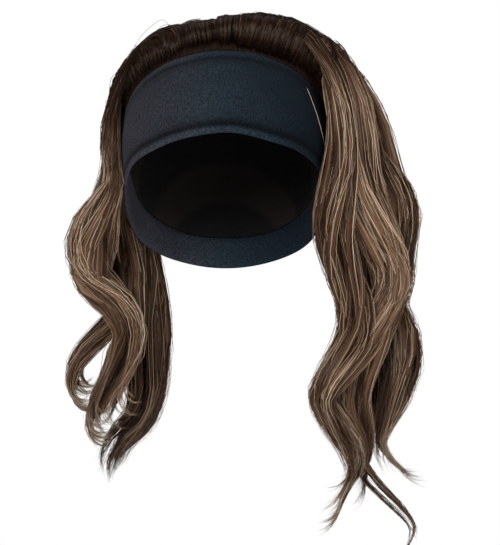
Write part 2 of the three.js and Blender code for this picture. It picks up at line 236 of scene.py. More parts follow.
@dataclass(frozen=True)
class CrownForm:
    """Outer face of the hair over the cap."""

    crown_lift: float = 14 * MM
    full_lift: float = 46 * MM
    ridges: int = 18
    ridge_depth: float = 2.4 * MM
    ridge_sweep: float = 50
    lip_start: float = 0.8
    lip_least: float = 0.12
    turns: tuple[float, ...] = (-180, -125, -85, -40, 0, 30, 60, 90, 120, 150, 180)
    lifts: tuple[float, ...] = (0.5, 0.52, 0.47, 0.26, 0.34, 0.42, 0.66, 1, 0.92, 0.7, 0.5)
    full_from: float = 0.3

    def fullness(self, turn: np.ndarray, along: np.ndarray) -> np.ndarray:
        """Height off the cap, in metres, before the hair rounds down at its rim."""
        wrapped = (np.asarray(turn, dtype=float) + 180) % 360 - 180
        spread = smooth(along, self.full_from, 1)
        side = self.full_lift * Column(self.turns, self.lifts).at(wrapped)
        return self.crown_lift + (side - self.crown_lift) * spread

    def lip(self, along: np.ndarray) -> np.ndarray:
        """Share of the fullness that is left where the hair rounds down at its rim."""
        past = np.maximum(0, along - self.lip_start) / (1 - self.lip_start)
        return self.lip_least + (1 - self.lip_least) * np.sqrt(np.maximum(0, 1 - past**2))

    def height(self, turn: np.ndarray, along: np.ndarray) -> np.ndarray:
        """Height off the cap, in metres, with combed ridges and a rounded rim."""
        spread = smooth(along, self.full_from, 1)
        wave = np.cos(self.ridges * np.radians(turn + self.ridge_sweep * along))
        full = self.fullness(turn, along) - self.ridge_depth * spread * (0.5 - 0.5 * wave)
        return full * self.lip(along)


CROWN = CrownForm()


def link_piece(mesh: bpy.types.Mesh, name: str, slot: Slot, *nodes: str) -> bpy.types.Object:
    """Puts a mesh in the scene as a piece of the wig.

    Args:
        mesh: the finished mesh, in place.
        name: name of the piece.
        slot: the record's material slot. Not used.
        nodes: CAD nodes that it stands for.

    Returns:
        The new object.
    """
    piece = bpy.data.objects.new(name, mesh)
    bpy.context.scene.collection.objects.link(piece)
    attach(piece, "root")
    if nodes:
        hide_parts(*nodes)
    return piece


def spun_ring(profile: Sequence[tuple[float, float]], steps: int, closed: bool) -> bmesh.types.BMesh:
    """A profile spun a full turn about the Z axis, starting at the back of the head.

    Args:
        profile: radius and height of each point.
        steps: steps in the turn.
        closed: whether the profile closes on itself. Otherwise it starts and ends on the axis.

    Returns:
        A closed bmesh.
    """
    bm = bmesh.new()
    points = [bm.verts.new((0, radius, height)) for radius, height in profile]
    pairs = list(zip(points, points[1:] + points[:1] if closed else points[1:]))
    edges = [bm.edges.new(pair) for pair in pairs]
    bmesh.ops.spin(
        bm,
        geom=points + edges,
        cent=(0, 0, 0),
        axis=(0, 0, 1),
        angle=math.tau,
        steps=steps,
        use_merge=True,
    )
    bmesh.ops.remove_doubles(bm, verts=bm.verts, dist=1e-6)
    bmesh.ops.recalc_face_normals(bm, faces=bm.faces)
    return bm


def place_ring(bm: bmesh.types.BMesh, place: Callable[[float, float, float], np.ndarray]) -> None:
    """Moves each vertex of a spun ring to its place on the head.

    Args:
        bm: the ring, changed in place.
        place: gives the point for turn in degrees, radius and height in the ring.
    """
    for vert in bm.verts:
        x, y, z = vert.co
        turn = math.degrees(math.atan2(x, -y)) if math.hypot(x, y) > 1e-9 else 0.0
        vert.co = Vector(place(turn, math.hypot(x, y), z))


def unrolled_turns(face: bmesh.types.BMFace) -> list[float]:
    """Share of a full turn at each corner of a spun ring's face, carried past 1 at the seam."""
    turns = [math.atan2(c.vert.co.x, -c.vert.co.y) / math.tau + 0.5 for c in face.loops]
    over_seam = max(turns) - min(turns) > 0.5
    return [turn + 1 if over_seam and turn < 0.5 else turn for turn in turns]


def level_of(face: bmesh.types.BMFace) -> float:
    """Mean height of a face's corners in a spun ring."""
    return sum(corner.vert.co.z for corner in face.loops) / len(face.loops)


def finished(bm: bmesh.types.BMesh, name: str, finish: bpy.types.Material) -> bpy.types.Mesh:
    """Turns a closed bmesh into a smooth mesh, and frees it.

    Args:
        bm: the form, in place.
        name: name of the mesh.
        finish: its material.

    Returns:
        The mesh.
    """
    bmesh.ops.recalc_face_normals(bm, faces=bm.faces)
    for face in bm.faces:
        face.smooth = True
    mesh = bpy.data.meshes.new(name)
    bm.to_mesh(mesh)
    bm.free()
    mesh.materials.append(finish)
    return mesh


class NodeTree:
    """Small helper that builds one material's nodes."""

    def __init__(self, name: str) -> None:
        """Starts a material with a Principled BSDF and its output."""
        self.material = bpy.data.materials.new(name)
        self.material.use_nodes = True
        self.tree = self.material.node_tree
        self.tree.nodes.clear()
        self.surface = self.add("ShaderNodeBsdfPrincipled")
        out = self.add("ShaderNodeOutputMaterial")
        self.join(self.surface, "BSDF", out, "Surface")

    def add(self, kind: str, **settings: object) -> bpy.types.Node:
        """Adds a node.

        Args:
            kind: the node's type.
            settings: its properties, or inputs by name with spaces as underscores.

        Returns:
            The node.
        """
        node = self.tree.nodes.new(kind)
        for key, value in settings.items():
            if hasattr(node, key):
                setattr(node, key, value)
            else:
                node.inputs[key.replace("_", " ")].default_value = value
        return node

    def join(
        self, source: bpy.types.Node, out: str | int, target: bpy.types.Node, into: str | int
    ) -> None:
        """Links an output to an input."""
        self.tree.links.new(source.outputs[out], target.inputs[into])

    def noise(self, place: bpy.types.Node, out: str, **settings: float) -> bpy.types.Node:
        """Adds a noise texture that is read at a node's output."""
        texture = self.add("ShaderNodeTexNoise", **settings)
        self.join(place, out, texture, "Vector")
        return texture

    def unrolled(self, across: float, along: float) -> bpy.types.Node:
        """Adds a mapping of the piece's own map, stretched across and along it."""
        uv = self.add("ShaderNodeUVMap", uv_map=UV_MAP)
        stretch = self.add("ShaderNodeMapping", Scale=(across, along, 1.0))
        self.join(uv, "UV", stretch, "Vector")
        return stretch

    def ranged(self, source: bpy.types.Node, out: str, **settings: float) -> bpy.types.Node:
        """Adds a map range of a node's output."""
        level = self.add("ShaderNodeMapRange", **settings)
        self.join(source, out, level, "Value")
        return level

    def maths(
        self, kind: str, first: bpy.types.Node, out: str, second: bpy.types.Node, second_out: str
    ) -> bpy.types.Node:
        """Adds a sum or product of two outputs."""
        node = self.add("ShaderNodeMath", operation=kind)
        self.join(first, out, node, 0)
        self.join(second, second_out, node, 1)
        return node

    def paint(self, colour: bpy.types.Node, level: bpy.types.Node, out: str) -> None:
        """Sets the surface's colour to a node's colour times a level."""
        tint = self.add("ShaderNodeMix", data_type="RGBA", blend_type="MULTIPLY")
        tint.inputs["Factor"].default_value = 1.0
        self.join(colour, "Color", tint, MIX_FIRST)
        self.join(level, out, tint, MIX_SECOND)
        self.join(tint, MIX_RESULT, self.surface, "Base Color")

    def emboss(self, height: bpy.types.Node, out: str, strength: float, distance: float) -> None:
        """Gives the surface a relief from a node's output."""
        relief = self.add("ShaderNodeBump", Strength=strength, Distance=distance)
        self.join(height, out, relief, "Height")
        self.join(relief, "Normal", self.surface, "Normal")

    def sockets(self, values: dict[str, float | tuple[float, ...]]) -> None:
        """Sets constant values of the surface by their sockets' names."""
        for name, value in values.items():
            self.surface.inputs[name].default_value = value

    def ramp(self, stops: Sequence[tuple[float, tuple[float, ...]]]) -> bpy.types.Node:
        """Adds a colour ramp with these stops."""
        node = self.add("ShaderNodeValToRGB")
        while len(node.color_ramp.elements) < len(stops):
            node.color_ramp.elements.new(0.5)
        for element, (place, colour) in zip(node.color_ramp.elements, stops):
            element.position = place
            element.color = (*colour[:3], 1)
        return node


@dataclass(frozen=True)
class HairFinish:
    """Silky fibre. The colour comes with each strand."""

    name: str = "silky_fibre"
    speck_scale: float = 160.0
    speck_levels: tuple[float, float] = (0.78, 1.22)
    roughness: tuple[float, float] = (0.24, 0.40)
    specular: float = 0.34

    def make(self) -> bpy.types.Material:
        """Builds the material.

        Returns:
            The material, which reads the tone attribute and the piece's own map.
        """
        nodes = NodeTree(self.name)
        tone = nodes.add("ShaderNodeAttribute", attribute_name=TONE)
        uv = nodes.add("ShaderNodeUVMap", uv_map=UV_MAP)
        speck = nodes.noise(uv, "UV", Scale=self.speck_scale, Detail=2.0, Roughness=0.6)
        low, high = self.speck_levels
        nodes.paint(tone, nodes.ranged(speck, "Fac", To_Min=low, To_Max=high), "Result")
        smoothest, roughest = self.roughness
        rough = nodes.ranged(speck, "Fac", To_Min=smoothest, To_Max=roughest)
        nodes.join(rough, "Result", nodes.surface, "Roughness")
        nodes.sockets({"Specular IOR Level": self.specular, "Specular Tint": FIBRE_TINT})
        return nodes.material


@dataclass(frozen=True)
class WispFinish:
    """Fibre of a whole wisp, streaked along its fall. The colour comes with each wisp."""

    name: str = "streaked_fibre"
    streaks: float = 340.0
    streak_length: float = 26.0
    contrast: tuple[float, float] = (0.05, 2.6)
    relief: tuple[float, float] = (0.7, 0.5 * MM)
    roughness: float = 0.42
    specular: float = 0.22

    def make(self) -> bpy.types.Material:
        """Builds the material.

        Returns:
            The material, with fibres that follow the piece's own map in colour and relief.
        """
        nodes = NodeTree(self.name)
        tone = nodes.add("ShaderNodeAttribute", attribute_name=TONE)
        stretch = nodes.unrolled(self.streaks, self.streak_length)
        fibre = nodes.noise(stretch, "Vector", Scale=1.0, Detail=3.0, Roughness=0.7)
        low, high = self.contrast
        level = nodes.ranged(fibre, "Fac", From_Min=0.35, From_Max=0.65, To_Min=low, To_Max=high)
        nodes.paint(tone, level, "Result")
        nodes.emboss(fibre, "Fac", *self.relief)
        nodes.sockets(
            {
                "Roughness": self.roughness,
                "Specular IOR Level": self.specular,
                "Specular Tint": FIBRE_TINT,
            }
        )
        return nodes.material


@dataclass(frozen=True)
class PaintedShadeUnderHairFinish:
    """Dense hair under the loose strands, streaked along its fall, coloured near-black as painted shade for
    the inside of the hair.
    """

    name: str = "painted_shade_under_hair"
    # Both far darker than the hair's own tones: painted shade.
    dark: tuple[float, float, float] = (0.0035, 0.0016, 0.0009)
    light: tuple[float, float, float] = (0.020, 0.0095, 0.0052)
    streaks: float = 260.0
    streak_length: float = 5.0
    relief: tuple[float, float] = (0.6, 0.8 * MM)
    roughness: float = 0.7
    specular: float = 0.06

    def make(self) -> bpy.types.Material:
        """Builds the material.

        Returns:
            The material, with streaks that follow the piece's own map.
        """
        nodes = NodeTree(self.name)
        stretch = nodes.unrolled(self.streaks, self.streak_length)
        fibre = nodes.noise(stretch, "Vector", Scale=1.0, Detail=4.0, Roughness=0.65)
        colour = nodes.ramp([(0.38, self.dark), (0.72, self.light)])
        nodes.join(fibre, "Fac", colour, "Fac")
        nodes.join(colour, "Color", nodes.surface, "Base Color")
        nodes.emboss(fibre, "Fac", *self.relief)
        nodes.sockets({"Roughness": self.roughness, "Specular IOR Level": self.specular})
        return nodes.material


@dataclass(frozen=True)
class BandMap:
    """Where the headband lies in its map: its outside in the upper half, its inside in the lower."""

    outside_middle: float = 0.75
    inside_middle: float = 0.25
    half_height: float = 0.23
    left_margin: float = 0.004
    run: float = 0.99


@dataclass(frozen=True)
class KnitFinish:
    """Fine charcoal stretch knit, cooler towards the right and warmer towards the left.

    The crease levels below are painted shade and painted highlight: how light the cloth is painted, darker
    along each crease line and lighter on each hem, at places from -1 at the front edge to 1 at the rear.
    """

    name: str = "stretch_knit"
    left: tuple[float, float, float] = (0.0250, 0.0235, 0.0295)
    middle: tuple[float, float, float] = (0.0098, 0.0155, 0.0212)
    right: tuple[float, float, float] = (0.0014, 0.0038, 0.0072)
    # Painted shade: darker along each crease line; painted highlight: lighter on each hem.
    crease_shading: tuple[tuple[float, float], ...] = (
        (-1.0, 1.3), (-0.9, 1.25), (-0.84, 0.3), (-0.78, 0.3), (-0.66, 0.85), (-0.45, 1.0),
        (0.45, 1.0), (0.62, 0.8), (0.71, 0.4), (0.76, 0.42), (0.85, 1.15), (0.93, 1.4), (1.0, 1.2),
    )
    side_reach: float = 80 * MM
    rib_stretch: tuple[float, float] = (560.0, 34.0)
    rib_scale: float = 0.1592
    grain_scale: float = 760.0
    cloud_scale: float = 28.0
    relief: tuple[float, float] = (0.5, 0.4 * MM)

    PAINTED_SHADE_UNIT = 2.0

    def make(self) -> bpy.types.Material:
        """Builds the material.

        Returns:
            The material, with knit ribs and grain in colour, roughness and relief.
        """
        nodes = NodeTree(self.name)
        place = nodes.add("ShaderNodeTexCoord")
        shade = self.shade(nodes, place)
        stretch = nodes.unrolled(*self.rib_stretch)
        ribs = nodes.add(
            "ShaderNodeTexWave", bands_direction="X", Scale=self.rib_scale, Distortion=1.5, Detail=2.0
        )
        nodes.join(stretch, "Vector", ribs, "Vector")
        grain = nodes.noise(place, "Object", Scale=self.grain_scale, Detail=4.0, Roughness=0.8)
        cloud = nodes.noise(place, "Object", Scale=self.cloud_scale, Detail=2.0)
        spread = {"From_Min": 0.3, "From_Max": 0.7}
        fleck = nodes.ranged(grain, "Fac", **spread, To_Min=0.05, To_Max=2.1)
        patch = nodes.ranged(cloud, "Fac", **spread, To_Min=0.88, To_Max=1.12)
        both = nodes.maths("MULTIPLY", fleck, "Result", patch, "Result")
        # Painted crease shade and painted hem highlight multiply the knit's colour.
        with_painted_shade = nodes.maths("MULTIPLY", both, "Value", self.painted_crease_shade(nodes), "Color")
        doubled = nodes.add("ShaderNodeMath", operation="MULTIPLY")
        doubled.inputs[1].default_value = self.PAINTED_SHADE_UNIT
        nodes.join(with_painted_shade, "Value", doubled, 0)
        nodes.paint(shade, doubled, "Value")
        depth = nodes.maths("ADD", ribs, "Fac", grain, "Fac")
        nodes.emboss(depth, "Value", *self.relief)
        rough = nodes.ranged(grain, "Fac", To_Min=0.78, To_Max=0.95)
        nodes.join(rough, "Result", nodes.surface, "Roughness")
        nodes.sockets(
            {
                "Specular IOR Level": 0.06,
                "Sheen Weight": 0.03,
                "Sheen Roughness": 0.5,
                "Sheen Tint": (0.55, 0.62, 0.72, 1),
            }
        )
        return nodes.material

    def shade(self, nodes: NodeTree, place: bpy.types.Node) -> bpy.types.Node:
        """Adds the colour from side to side of the head: warm grey at the left, darker and bluer towards the
        right.

        Args:
            nodes: the material's nodes.
            place: node that gives the object's coordinates.

        Returns:
            The node with the colour.
        """
        split = nodes.add("ShaderNodeSeparateXYZ")
        nodes.join(place, "Object", split, "Vector")
        side = nodes.ranged(split, "X", From_Min=-self.side_reach, From_Max=self.side_reach)
        shade = nodes.ramp([(0.0, self.left), (0.5, self.middle), (1.0, self.right)])
        nodes.join(side, "Result", shade, "Fac")
        return shade

    def painted_crease_shade(self, nodes: NodeTree) -> bpy.types.Node:
        """Adds painted shade in the dark crease lines and painted highlight on the lighter hems that run
        along the cloth.

        Args:
            nodes: the material's nodes.

        Returns:
            The node with the level, in units of PAINTED_SHADE_UNIT.
        """
        uv = nodes.add("ShaderNodeUVMap", uv_map=UV_MAP)
        across = nodes.add("ShaderNodeSeparateXYZ")
        nodes.join(uv, "UV", across, "Vector")
        middle = BandMap.outside_middle
        stops = [
            (middle + BandMap.half_height * at, (level / self.PAINTED_SHADE_UNIT,) * 3)
            for at, level in self.crease_shading
        ]
        painted_crease_shade = nodes.ramp(stops)
        nodes.join(across, "Y", painted_crease_shade, "Fac")
        return painted_crease_shade


@dataclass(frozen=True)
class CapFinish:
    """Black cap net with rows of sewn wefts."""

    name: str = "weft_net"
    net: tuple[float, float, float] = (0.0022, 0.0020, 0.0020)
    weft: tuple[float, float, float] = (0.0080, 0.0060, 0.0050)
    rows: float = 11.0
    row_scale: float = 0.3183
    net_scale: float = 700.0
    relief: tuple[float, float] = (0.7, 0.9 * MM)
    roughness: float = 0.88
    specular: float = 0.15

    def make(self) -> bpy.types.Material:
        """Builds the material.

        Returns:
            The material, with wefts across the cap and a net between them.
        """
        nodes = NodeTree(self.name)
        stretch = nodes.unrolled(3.0, self.rows)
        rows = nodes.add(
            "ShaderNodeTexWave", bands_direction="Y", Scale=self.row_scale, Distortion=0.8, Detail=2.0
        )
        nodes.join(stretch, "Vector", rows, "Vector")
        place = nodes.add("ShaderNodeTexCoord")
        mesh = nodes.add("ShaderNodeTexVoronoi", Scale=self.net_scale, feature="DISTANCE_TO_EDGE")
        nodes.join(place, "Object", mesh, "Vector")
        colour = nodes.ramp([(0.55, self.net), (0.8, self.weft)])
        nodes.join(rows, "Fac", colour, "Fac")
        nodes.join(colour, "Color", nodes.surface, "Base Color")
        depth = nodes.add("ShaderNodeMath", operation="MULTIPLY_ADD")
        depth.inputs[1].default_value = 0.5
        nodes.join(mesh, "Distance", depth, 0)
        nodes.join(rows, "Fac", depth, 2)
        nodes.emboss(depth, "Value", *self.relief)
        nodes.sockets({"Roughness": self.roughness, "Specular IOR Level": self.specular})
        return nodes.material


@dataclass(frozen=True)
class HairTones:
    """Colours of one part of the hair, dark to light, as linear values."""

    root: tuple[float, float, float] = (0.0070, 0.0028, 0.0016)
    dark: tuple[float, float, float] = (0.030, 0.0125, 0.0060)
    middle: tuple[float, float, float] = (0.135, 0.074, 0.043)
    light: tuple[float, float, float] = (0.390, 0.270, 0.180)
    bright: tuple[float, float, float] = (0.720, 0.590, 0.450)
    places: tuple[float, ...] = (0.0, 0.25, 0.5, 0.78, 1.0)

    def colour(self, level: np.ndarray) -> np.ndarray:
        """Colour of each level.

        Args:
            level: 0 for the roots to 1 for the brightest strands.

        Returns:
            Linear colours along a new last axis.
        """
        stops = np.array([self.root, self.dark, self.middle, self.light, self.bright])
        return np.stack([np.interp(level, self.places, stops[:, c]) for c in range(3)], axis=-1)


def round_section(paths: np.ndarray, thick: np.ndarray) -> tuple[np.ndarray, np.ndarray]:
    """Two directions across round strands, with no twist along them.

    Args:
        paths: points of each strand, (strands, points, 3).
        thick: radius at each point, (strands, points).

    Returns:
        The directions, as long as the radius.
    """
    along = unit(np.gradient(paths, axis=1))
    normal = unit(np.cross(along[:, 0], np.array([0.31, 0.52, 0.79])))
    normals = []
    for k in range(along.shape[1]):
        normal = unit(normal - np.sum(normal * along[:, k], axis=-1, keepdims=True) * along[:, k])
        normals.append(normal)
    across = np.stack(normals, axis=1)
    return across * thick[..., None], np.cross(along, across) * thick[..., None]


@dataclass
class TubeMesh:
    """Joined closed tubes, one for each strand or wisp.

    paths are the points of each tube, (tubes, points, 3). across and fore are the half widths of its
    section there, as vectors. tones are linear colours. rows is how many rows of tubes the map has.
    A tube is unrolled in the map, or all its sides share one place there.
    """

    paths: np.ndarray
    across: np.ndarray
    fore: np.ndarray
    tones: np.ndarray
    sides: int = 3
    rows: int = 4
    unrolled: bool = False

    COLUMN_MARGIN = 0.06
    ROW_MARGIN = 0.02

    def corner(self, ring: int, side: int) -> int:
        """Index of a corner within its tube."""
        return 1 + ring * self.sides + side % self.sides

    def faces(self) -> tuple[np.ndarray, np.ndarray]:
        """Triangles of one tube and their places in its own column of the map.

        Returns:
            Corner indices (triangles, 3) and places (triangles, 3, 2), both 0 to 1.
        """
        inner = self.paths.shape[1] - 2
        span = inner + 1
        tip = 1 + inner * self.sides
        faces: list[tuple[int, int, int]] = []
        marks: list[tuple[tuple[float, float], ...]] = []
        for j in range(self.sides):
            left = j / self.sides if self.unrolled else 0.0
            right = (j + 1) / self.sides if self.unrolled else 1.0
            centre = (left + right) / 2
            faces.append((0, self.corner(0, j + 1), self.corner(0, j)))
            marks.append(((centre, 0.0), (right, 1 / span), (left, 1 / span)))
            for k in range(inner - 1):
                low, high = (k + 1) / span, (k + 2) / span
                faces.append((self.corner(k, j), self.corner(k, j + 1), self.corner(k + 1, j + 1)))
                marks.append(((left, low), (right, low), (right, high)))
                faces.append((self.corner(k, j), self.corner(k + 1, j + 1), self.corner(k + 1, j)))
                marks.append(((left, low), (right, high), (left, high)))
            faces.append((self.corner(inner - 1, j), self.corner(inner - 1, j + 1), tip))
            marks.append(((left, inner / span), (right, inner / span), (centre, 1.0)))
        return np.array(faces), np.array(marks)

    def build(self, name: str, finish: bpy.types.Material) -> bpy.types.Mesh:
        """Makes the mesh.

        Args:
            name: name of the mesh.
            finish: its material.

        Returns:
            The mesh, with the tone attribute and a map with a column for each tube.
        """
        count, points, _ = self.paths.shape
        angles = np.arange(self.sides) * math.tau / self.sides
        rings = (
            self.paths[:, 1:-1, None, :]
            + np.cos(angles)[None, None, :, None] * self.across[:, 1:-1, None, :]
            + np.sin(angles)[None, None, :, None] * self.fore[:, 1:-1, None, :]
        )
        rings = rings.reshape(count, (points - 2) * self.sides, 3)
        verts = np.concatenate([self.paths[:, :1], rings, self.paths[:, -1:]], axis=1)
        tone_rings = np.repeat(self.tones[:, 1:-1], self.sides, axis=1)
        tones = np.concatenate([self.tones[:, :1], tone_rings, self.tones[:, -1:]], axis=1)
        per = verts.shape[1]
        face, mark = self.faces()
        corners = (face[None] + (np.arange(count) * per)[:, None, None]).reshape(-1)
        columns = math.ceil(count / self.rows)
        column = (np.arange(count) % columns)[:, None, None]
        row = (np.arange(count) // columns)[:, None, None]
        run = 1 - 2 * self.COLUMN_MARGIN
        rise = 1 - 2 * self.ROW_MARGIN
        u = (column + self.COLUMN_MARGIN + run * mark[None, :, :, 0]) / columns
        v = (row + self.ROW_MARGIN + rise * mark[None, :, :, 1]) / self.rows
        mesh = bpy.data.meshes.new(name)
        mesh.vertices.add(count * per)
        mesh.vertices.foreach_set("co", verts.reshape(-1).astype(np.float32))
        mesh.loops.add(len(corners))
        mesh.loops.foreach_set("vertex_index", corners.astype(np.int32))
        mesh.polygons.add(len(corners) // 3)
        mesh.polygons.foreach_set("loop_start", np.arange(0, len(corners), 3, dtype=np.int32))
        mesh.update(calc_edges=True)
        mesh.polygons.foreach_set("use_smooth", np.ones(len(corners) // 3, dtype=bool))
        layer = mesh.uv_layers.new(name=UV_MAP)
        layer.data.foreach_set("uv", np.stack([u, v], axis=-1).reshape(-1).astype(np.float32))
        colour = mesh.color_attributes.new(TONE, "FLOAT_COLOR", "POINT")
        opaque = np.concatenate([tones.reshape(-1, 3), np.ones((count * per, 1))], axis=1)
        colour.data.foreach_set("color", opaque.reshape(-1).astype(np.float32))
        mesh.materials.append(finish)
        mesh.update()
        return mesh


@dataclass(frozen=True)
class CrownPaths:
    """How hair runs over the crown. Lengths are in metres, angles in degrees and the rest are shares.

    A path rises from its root, keeps off the headband's rear edge and comes down at its end. Limits
    are a least share, and how much more for each radian between the two ends.
    """

    root_gap: float = 1.5 * MM
    cap_gap: float = 0.4 * MM
    rise_limit: tuple[float, float] = (0.2, 0.9)
    settle_limit: tuple[float, float] = (0.1, 0.4)
    rim_dip: float = 0.05
    rim_softness: float = 2.0
    buried: float = 0.76
    buried_from: tuple[float, float] = (0.03, 0.15)
    edge_run: float = 15 * MM
    buried_run: float = 65 * MM
    run_margin: float = 12 * MM
    run_limits: tuple[float, float] = (0.045, 0.8)
    rounds_from: float = 0.7
    rounds_by: float = 0.4
    arch_lift: float = 6 * MM
    arch_place: float = 0.72
    arch_width: float = 0.2

    def over(
        self,
        root_turn: np.ndarray,
        back: np.ndarray,
        first: np.ndarray,
        share: np.ndarray,
        climb: np.ndarray,
        settle: float,
        points: int = 40,
    ) -> np.ndarray:
        """Ways of hair over the crown, from the roots to given points.

        Args:
            root_turn: where each is rooted along the headband, in degrees.
            back: share of the way from the headband to the crown that each is rooted at.
            first: point that each leads to, (ways, 3).
            share: share of the hair's fullness that each lies at.
            climb: radians that they rise towards the crown at first.
            settle: radians above their ends from which they come down.
            points: points on each.

        Returns:
            Points, (ways, points, 3). The last one is first.
        """
        s = np.linspace(0, 1, points)[None, :, None]
        start = HEAD.heading(root_turn, BAND.rear(root_turn, self.root_gap) * (1 - back))
        inward = unit(np.cross(start, BAND.direction(root_turn)))
        end = unit(first - HEAD.centre())
        up = unit(np.array([0.0, 0.0, 1.0]) - end[:, 2:3] * end)
        turned = np.arccos(np.clip(np.sum(start * end, axis=-1), -1, 1))[:, None]
        least, more = self.rise_limit
        rise = np.minimum(climb * (1 - back) ** 2, least + more * turned[:, 0])
        rising = unit(start + rise[:, None] * inward)
        least, more = self.settle_limit
        coming = unit(end + np.minimum(settle, least + more * turned) * up)
        way = (
            (1 - s) ** 3 * start[:, None]
            + 3 * (1 - s) ** 2 * s * rising[:, None]
            + 3 * (1 - s) * s * s * coming[:, None]
            + s**3 * end[:, None]
        )
        turn, tilt = self.off_band(unit(way), s[..., 0])
        lift = self.lift(turn, tilt, s[..., 0], back, share, turned)
        path = HEAD.point(turn, tilt, CAP_WALL + self.cap_gap + lift)
        return path + smooth(s, 0.35, 1.0) * (first[:, None] - path[:, -1:])

    def off_band(self, heading: np.ndarray, s: np.ndarray) -> tuple[np.ndarray, np.ndarray]:
        """Keeps ways off the headband until they come down at their ends.

        Args:
            heading: directions from the middle of the head, (ways, points, 3).
            s: share of each way that lies behind, (1, points).

        Returns:
            Turn and tilt, in degrees.
        """
        turn, tilt = HEAD.aim(heading)
        rim = BAND.rear(turn) * (1 - self.rim_dip * smooth(s, 0.0, 0.3))
        over = np.clip((tilt - rim) / self.rim_softness, -30, 30)
        kept = tilt - self.rim_softness * np.log1p(np.exp(over))
        return turn, tilt + (kept - tilt) * smooth(s, 0.0, 0.2) * (1 - smooth(s, 0.6, 1.0))

    def lift(
        self,
        turn: np.ndarray,
        tilt: np.ndarray,
        s: np.ndarray,
        back: np.ndarray,
        share: np.ndarray,
        turned: np.ndarray,
    ) -> np.ndarray:
        """How far hair stands off the cap along its way.

        Hair that is rooted farther back starts inside the mass of the hair, and comes out slowly. Over
        the forehead it stands up from the headband in one round arch.

        Args:
            turn: degrees round the head, (ways, points).
            tilt: degrees down from the crown, (ways, points).
            s: share of each way that lies behind, (1, points).
            back: share of the way to the crown that each is rooted at.
            share: share of the hair's fullness that each lies at.
            turned: radians between the two ends of each, (ways, 1).

        Returns:
            Metres off the cap, (ways, points).
        """
        along = np.clip(tilt / np.maximum(1.0, BAND.rear(turn)), 0, 1)
        behind = smooth(back, *self.buried_from)[:, None]
        inside = self.buried * behind
        run = self.edge_run + self.buried_run * behind
        stood = np.clip(run / (HEAD.crown_height * turned + self.run_margin), *self.run_limits)
        x = np.clip(s / stood, 0, 1)
        past = np.clip((along - self.rounds_from) / (1 - self.rounds_from), 0, 1)
        rounded = 1 - self.rounds_by * past**2 * (1 - smooth(s, 0.4, 0.9))
        bulge = np.exp(-(((along - self.arch_place) / self.arch_width) ** 2))
        arch = self.arch_lift * smooth(np.cos(np.radians(turn)), 0.2, 0.8) * bulge
        lifted = (CROWN.fullness(turn, along) + arch) * share[:, None] * rounded
        return lifted * (inside + (1 - inside) * (1 - (1 - x) ** 2))


PATHS = CrownPaths()


@dataclass(frozen=True)
class Looseness:
    """How strands leave the wisp that they follow. Sizes and distances are in millimetres."""

    shorter_power: float = 1.7
    winding: float = 0.008
    stray_share: float = 0.035
    stray: tuple[float, float] = (1.0, 2.4)
    usual: tuple[float, float] = (0.2, 0.9)
    beat: tuple[float, float] = (12, 30)
    loosens: tuple[float, float] = (20, 110)


